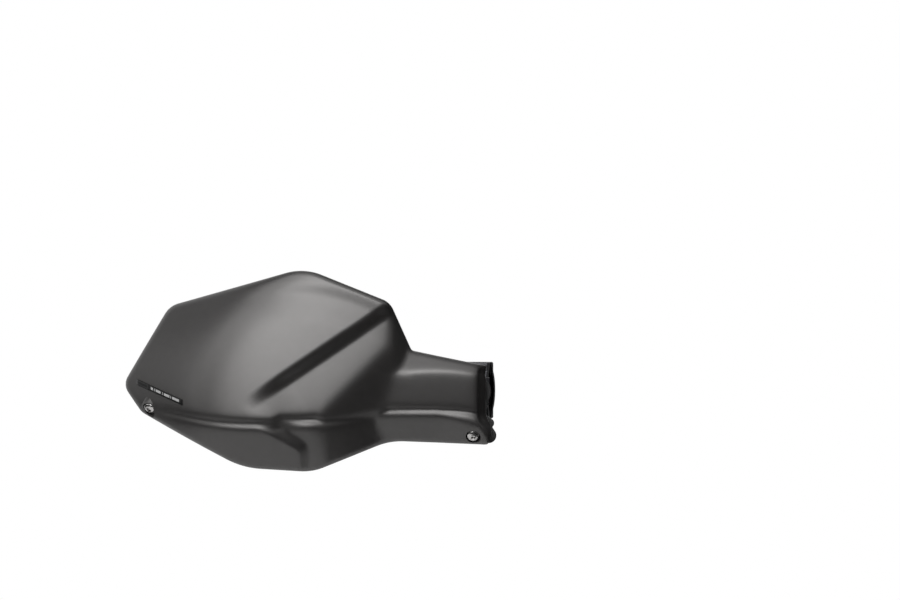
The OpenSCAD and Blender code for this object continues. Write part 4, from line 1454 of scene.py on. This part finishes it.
# %% Clamp halves
CLAMP_R = BAR_D / 2 + 6
CLAMP_W = 22
CLAMP_GAP = 1.6
EAR_H = CLAMP_SCREW_Z + CLAMP_SCREW_D / 2 + 2.4
LUG_SIZE = 20
LUG_START = 9
LUG_ROOT = 2.5
CHAMFER = 0.6
CURVE_STEPS = 44


def arc(radius, start, stop, steps=CURVE_STEPS):
    angles = np.radians(np.linspace(start, stop, steps + 1))
    return [(radius * math.cos(a), radius * math.sin(a)) for a in angles]


def half_outline():
    """Half of the clamp seen along the bar: x away from the split, y up. Starts in the bore."""
    split = CLAMP_GAP / 2
    bore_angle = math.degrees(math.acos(split / (BAR_D / 2)))
    wall_angle = math.degrees(math.acos(EAR_D / CLAMP_R)) - 7
    waist = math.sqrt(CLAMP_R**2 - EAR_D**2)
    back = rounded([(0, 0), (split, EAR_H, 0.4), (EAR_D, EAR_H, 1.6), (EAR_D, waist, 1.2),
                    arc(CLAMP_R, wall_angle, -wall_angle, 1)[0], (0, 0)], 5)[1:-1]
    upper = [tuple(p) for p in back[1:-1]]
    lower = [(x, -y) for x, y in upper[::-1]]
    bore_wall = arc(BAR_D / 2, -bore_angle, bore_angle)
    outer_wall = arc(CLAMP_R, wall_angle, -wall_angle)
    return [*bore_wall, (split, EAR_H - 1), *upper, *outer_wall, *lower, (split, 1 - EAR_H)]


def drawn_out(outline, half_length, chamfer):
    """An outline drawn out along Z, smaller by the chamfer at both ends."""
    spots = np.array(outline)
    forward, rearward = np.roll(spots, -1, 0) - spots, spots - np.roll(spots, 1, 0)
    normals = []
    for a, b in zip(rearward, forward):
        n1, n2 = unit(np.array([a[1], -a[0]])), unit(np.array([b[1], -b[0]]))
        normals.append((n1 + n2) / max(1 + n1 @ n2, 0.4))
    area = np.sum(spots[:, 0] * np.roll(spots[:, 1], -1) - spots[:, 1] * np.roll(spots[:, 0], -1))
    small = spots - np.array(normals) * chamfer * np.sign(area)
    n = len(spots)
    full = half_length - chamfer
    layers = [(small, -half_length), (spots, -full), (spots, full), (small, half_length)]
    vertices = [(p[0], p[1], h) for ring, h in layers for p in ring]
    polygons = [(k * n + i, k * n + (i + 1) % n, (k + 1) * n + (i + 1) % n, (k + 1) * n + i)
                for k in range(3) for i in range(n)]
    return outward(mesh_from("drawn", vertices, [tuple(range(n)), tuple(range(3 * n, 4 * n)), *polygons]))


def countersunk(radius, low, high, mouth):
    """A drill with a small countersink at the end named by mouth."""
    flare, depth = radius + 0.35, 0.35
    profile = [(0, low), (radius, low), (radius, mouth - depth), (flare, mouth), (flare, high), (0, high)]
    return outward(turned_mesh("drill", profile, 48))


def clamp_half(name, side):
    """A half whose outline's x points forward (-1) or rearward (1), drawn out along the bar."""
    place = Matrix(((0, 0, 1, 0), (side, 0, 0, 0), (0, 1, 0, 0), (0, 0, 0, 1)))
    mesh = placed(drawn_out(half_outline(), CLAMP_W / 2, CHAMFER), place)
    obj = link_object(name, outward(mesh) if side < 0 else mesh)
    obj.data.materials.append(clamp_anodised)
    return obj


# %% Black anodised aluminium with cutter marks along the bar
ANODISED_DARK = (0.028, 0.028, 0.031, 1)
ANODISED_PALE = (0.05, 0.05, 0.054, 1)


def anodised():
    material, graph, bsdf = new_material("clamp_anodised", Metallic=0.55, Specular_IOR_Level=0.5)
    coords = object_coords(graph)
    stretched = graph.add("ShaderNodeVectorMath", {0: coords, 1: (0.06, 1, 1)}, operation="MULTIPLY")
    marks = noise(graph, stretched, 0.25, 4, 0.7)
    cloud = noise(graph, coords, 7, 3)
    feed(graph, bsdf,
         Base_Color=mix_colour(graph, cloud, ANODISED_DARK, ANODISED_PALE),
         Roughness=0.32 + 0.1 * marks + 0.08 * cloud,
         Normal=bump(graph, marks, 0.03, 0.3))
    return material


clamp_anodised = anodised()

# %% Front half with the arm's lug
front = clamp_half("clamp_front_half", -1)
half = LUG_SIZE / 2
corners = [(x * half, y * half, 1.2) for x, y in ((1, 1), (1, -1), (-1, -1), (-1, 1))]
lug_outline = rounded([(0, half), *corners, (0, half)], 4)[1:-1]
lug = drawn_out([tuple(p) for p in lug_outline], (LUG_REACH - LUG_START) / 2, CHAMFER)
lug_piece = link_object("lug", placed(lug, ARM_AXIS @ moved(0, 0, (LUG_REACH + LUG_START) / 2)))
combine(lug_piece, [cylinder(CLAMP_R - LUG_ROOT, -60, 60, turned(90, "Y"), 128)], "DIFFERENCE")
combine(front, [lug_piece.data], "UNION")
bpy.data.objects.remove(lug_piece)

# %% Screw holes of both halves
arm_drill = countersunk(ARM_BOLT_D / 2 + THREAD_PLAY, LUG_REACH - BOLT_IN - 1, LUG_REACH + 2, LUG_REACH)
front_cuts = [placed(arm_drill, ARM_AXIS)]
rear_cuts = []
for side in (1, -1):
    axis = clamp_axis(side)
    drill = countersunk(CLAMP_SCREW_D / 2 + THREAD_PLAY, -THREAD_DEPTH, 4, -CLAMP_GAP / 2)
    front_cuts.append(placed(drill, axis))
    rear_cuts.append(cylinder(CLAMP_SCREW_D / 2 + HOLE_PLAY, -3, EAR_D + 3, axis))
    rear_cuts.append(cylinder(CLAMP_SCREW_D * 0.9 + HOLE_PLAY, EAR_D, EAR_D + 20, axis))
combine(front, front_cuts, "DIFFERENCE")
rear = clamp_half("clamp_rear_half", 1)
combine(rear, rear_cuts, "DIFFERENCE")
finish_piece(shade(front, 25), "clamp_anodised", "clamp_front")
finish_piece(shade(rear, 25), "clamp_anodised", "clamp_rear")
print("clamp halves:", len(front.data.polygons), "and", len(rear.data.polygons), "faces")

# %% [markdown]
# The set: a pale floor below the guard, which fades into the white background, and a soft light from
# above and in front, as under a bright sky. Behind the camera the room is dim, so that faces that
# look straight at it stay dark, as in the photo.

# %% Directions as the camera sees them
FLOOR_Z = -0.3
CAMERA_TURN = math.radians(12)
CAMERA_RISE = math.radians(0.8)
RIGHT = Vector((math.cos(CAMERA_TURN), math.sin(CAMERA_TURN), 0))
FORWARD = Vector((math.sin(CAMERA_TURN), -math.cos(CAMERA_TURN), 0))
UP = Vector((0, 0, 1))
PHOTO_MIDDLE = RIGHT * -0.0187 + FORWARD * 0.05 + UP * 0.0662
LAMPS_AIM = Vector((-0.12, -0.04, 0))
LAMP_DISTANCE = 2.5


def seen(right, forward, up):
    return (RIGHT * right + FORWARD * forward + UP * up).normalized()


# %% Floor and world
ROOM_LIGHT = 0.02
FLOOR_R = 0.44
FADE_FROM = 0.2


def part_along(graph, vector, axis):
    """How far a vector reaches along an axis."""
    sockets = {0: vector, 1: tuple(axis)}
    return graph.add("ShaderNodeVectorMath", sockets, out="Value", operation="DOT_PRODUCT")


def background_rays(graph, behind):
    """1 for rays from the camera, and for those that metal and glass send to the rear."""
    camera = graph.add("ShaderNodeLightPath", out="Is Camera Ray")
    sent_on = at_most(camera.beside("Is Glossy Ray") + camera.beside("Is Transmission Ray"), 1)
    return at_most(camera + sent_on * behind, 1)


def floor_finish():
    material, graph, bsdf = new_material("floor_paper", Roughness=0.8, Specular_IOR_Level=0.2)
    coords = object_coords(graph)
    feed(graph, bsdf, Base_Color=mix_colour(graph, noise(graph, coords, 60, 3), grey(0.8), grey(0.84)))
    away = graph.add("ShaderNodeVectorMath", {0: coords}, out="Value", operation="LENGTH")
    background = background_rays(graph, 1 - ease(-0.4, -0.2, part_along(graph, coords, FORWARD)))
    white = graph.add("ShaderNodeEmission", {"Strength": 1})
    shader = Wire(graph, bsdf.outputs[0])
    mask = background * ease(FADE_FROM, FLOOR_R * 0.98, away)
    mixed = graph.add("ShaderNodeMixShader", {0: mask, 1: shader, 2: white})
    graph.tree.links.new(mixed.socket, graph.tree.nodes["Material Output"].inputs[0])
    return material


def light_world():
    world = bpy.data.worlds.new("studio")
    world.use_nodes = True
    graph = Graph(world.node_tree)
    towards = graph.add("ShaderNodeTexCoord", out="Generated")
    to_rear = 1 - ease(-0.95, -0.5, part_along(graph, towards, FORWARD))
    not_right = 1 - ease(0, 0.5, part_along(graph, towards, RIGHT))
    white = background_rays(graph, to_rear * not_right)
    background = world.node_tree.nodes["Background"]
    graph.tree.links.new(blend(ROOM_LIGHT, 1, white).socket, background.inputs["Strength"])
    background.inputs["Color"].default_value = grey(1)
    SCENE.world = world


floor_mesh = turned_mesh("floor", [(0, 0), (FLOOR_R, 0)], 96)
floor = link_object("floor", floor_mesh)
floor.location = (-0.25, 0, FLOOR_Z)
floor.data.materials.append(floor_finish())
floor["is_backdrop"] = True
light_world()


# %% Lights: name, direction to the right, forward and up, radiance, radius
LAMPS = (
    ("key", (-0.1, 1, 0.85), 7.2, 0.8),
    ("front_left", (-0.35, 1, 0.5), 1.3, 0.8),
    ("low_front", (-0.2, 1, 0.2), 0.8, 0.8),
    ("left_front", (-1, 0.5, 0.3), 0.62, 0.9),
    ("left_rear", (-1, -0.7, 0.1), 0.26, 1),
    ("left_top", (-1, 0.1, 0.6), 0.85, 1),
    ("top_left", (-0.6, 0.4, 1), 1.9, 0.9),
    ("top", (0, 0.1, 1), 1.1, 1.1),
    ("right_top", (0.8, 0.3, 0.8), 0.6, 1),
)


def disc_light(name, direction, radiance, radius):
    """A round lamp of even brightness, aimed at the guard."""
    lamp = bpy.data.lights.new(name, "AREA")
    lamp.shape = "DISK"
    lamp.size = 2 * radius
    lamp.energy = radiance * math.pi * math.pi * radius * radius
    obj = link_object(name, lamp)
    obj.location = LAMPS_AIM + seen(*direction) * LAMP_DISTANCE
    obj.rotation_euler = seen(*direction).to_track_quat("Z", "Y").to_euler()


for lamp_values in LAMPS:
    disc_light(*lamp_values)
print(len(LAMPS), "lamps")

# %% Camera: far off, with a view as wide as the photo at the guard
DISTANCE = 6.5
SENSOR_MM = 36
VIEW_WIDTH = 0.648
camera_data = bpy.data.cameras.new("photo_camera")
camera_data.sensor_width = SENSOR_MM
camera_data.lens = SENSOR_MM * DISTANCE / VIEW_WIDTH
camera = link_object("photo_camera", camera_data)
back = (FORWARD * math.cos(CAMERA_RISE) + UP * math.sin(CAMERA_RISE)).normalized()
camera.location = PHOTO_MIDDLE + back * DISTANCE
camera.rotation_euler = back.to_track_quat("Z", "Y").to_euler()
SCENE.camera = camera
SCENE.view_settings.view_transform = "Standard"

# %% Size, and the end
made_low, made_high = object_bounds()
sizes = {"cad": [list(cad_low), list(cad_high)], "visual": [list(made_low), list(made_high)]}
for label, box in sizes.items():
    print(label, "box in mm:", [round(v / MM, 1) for corner in box for v in corner])
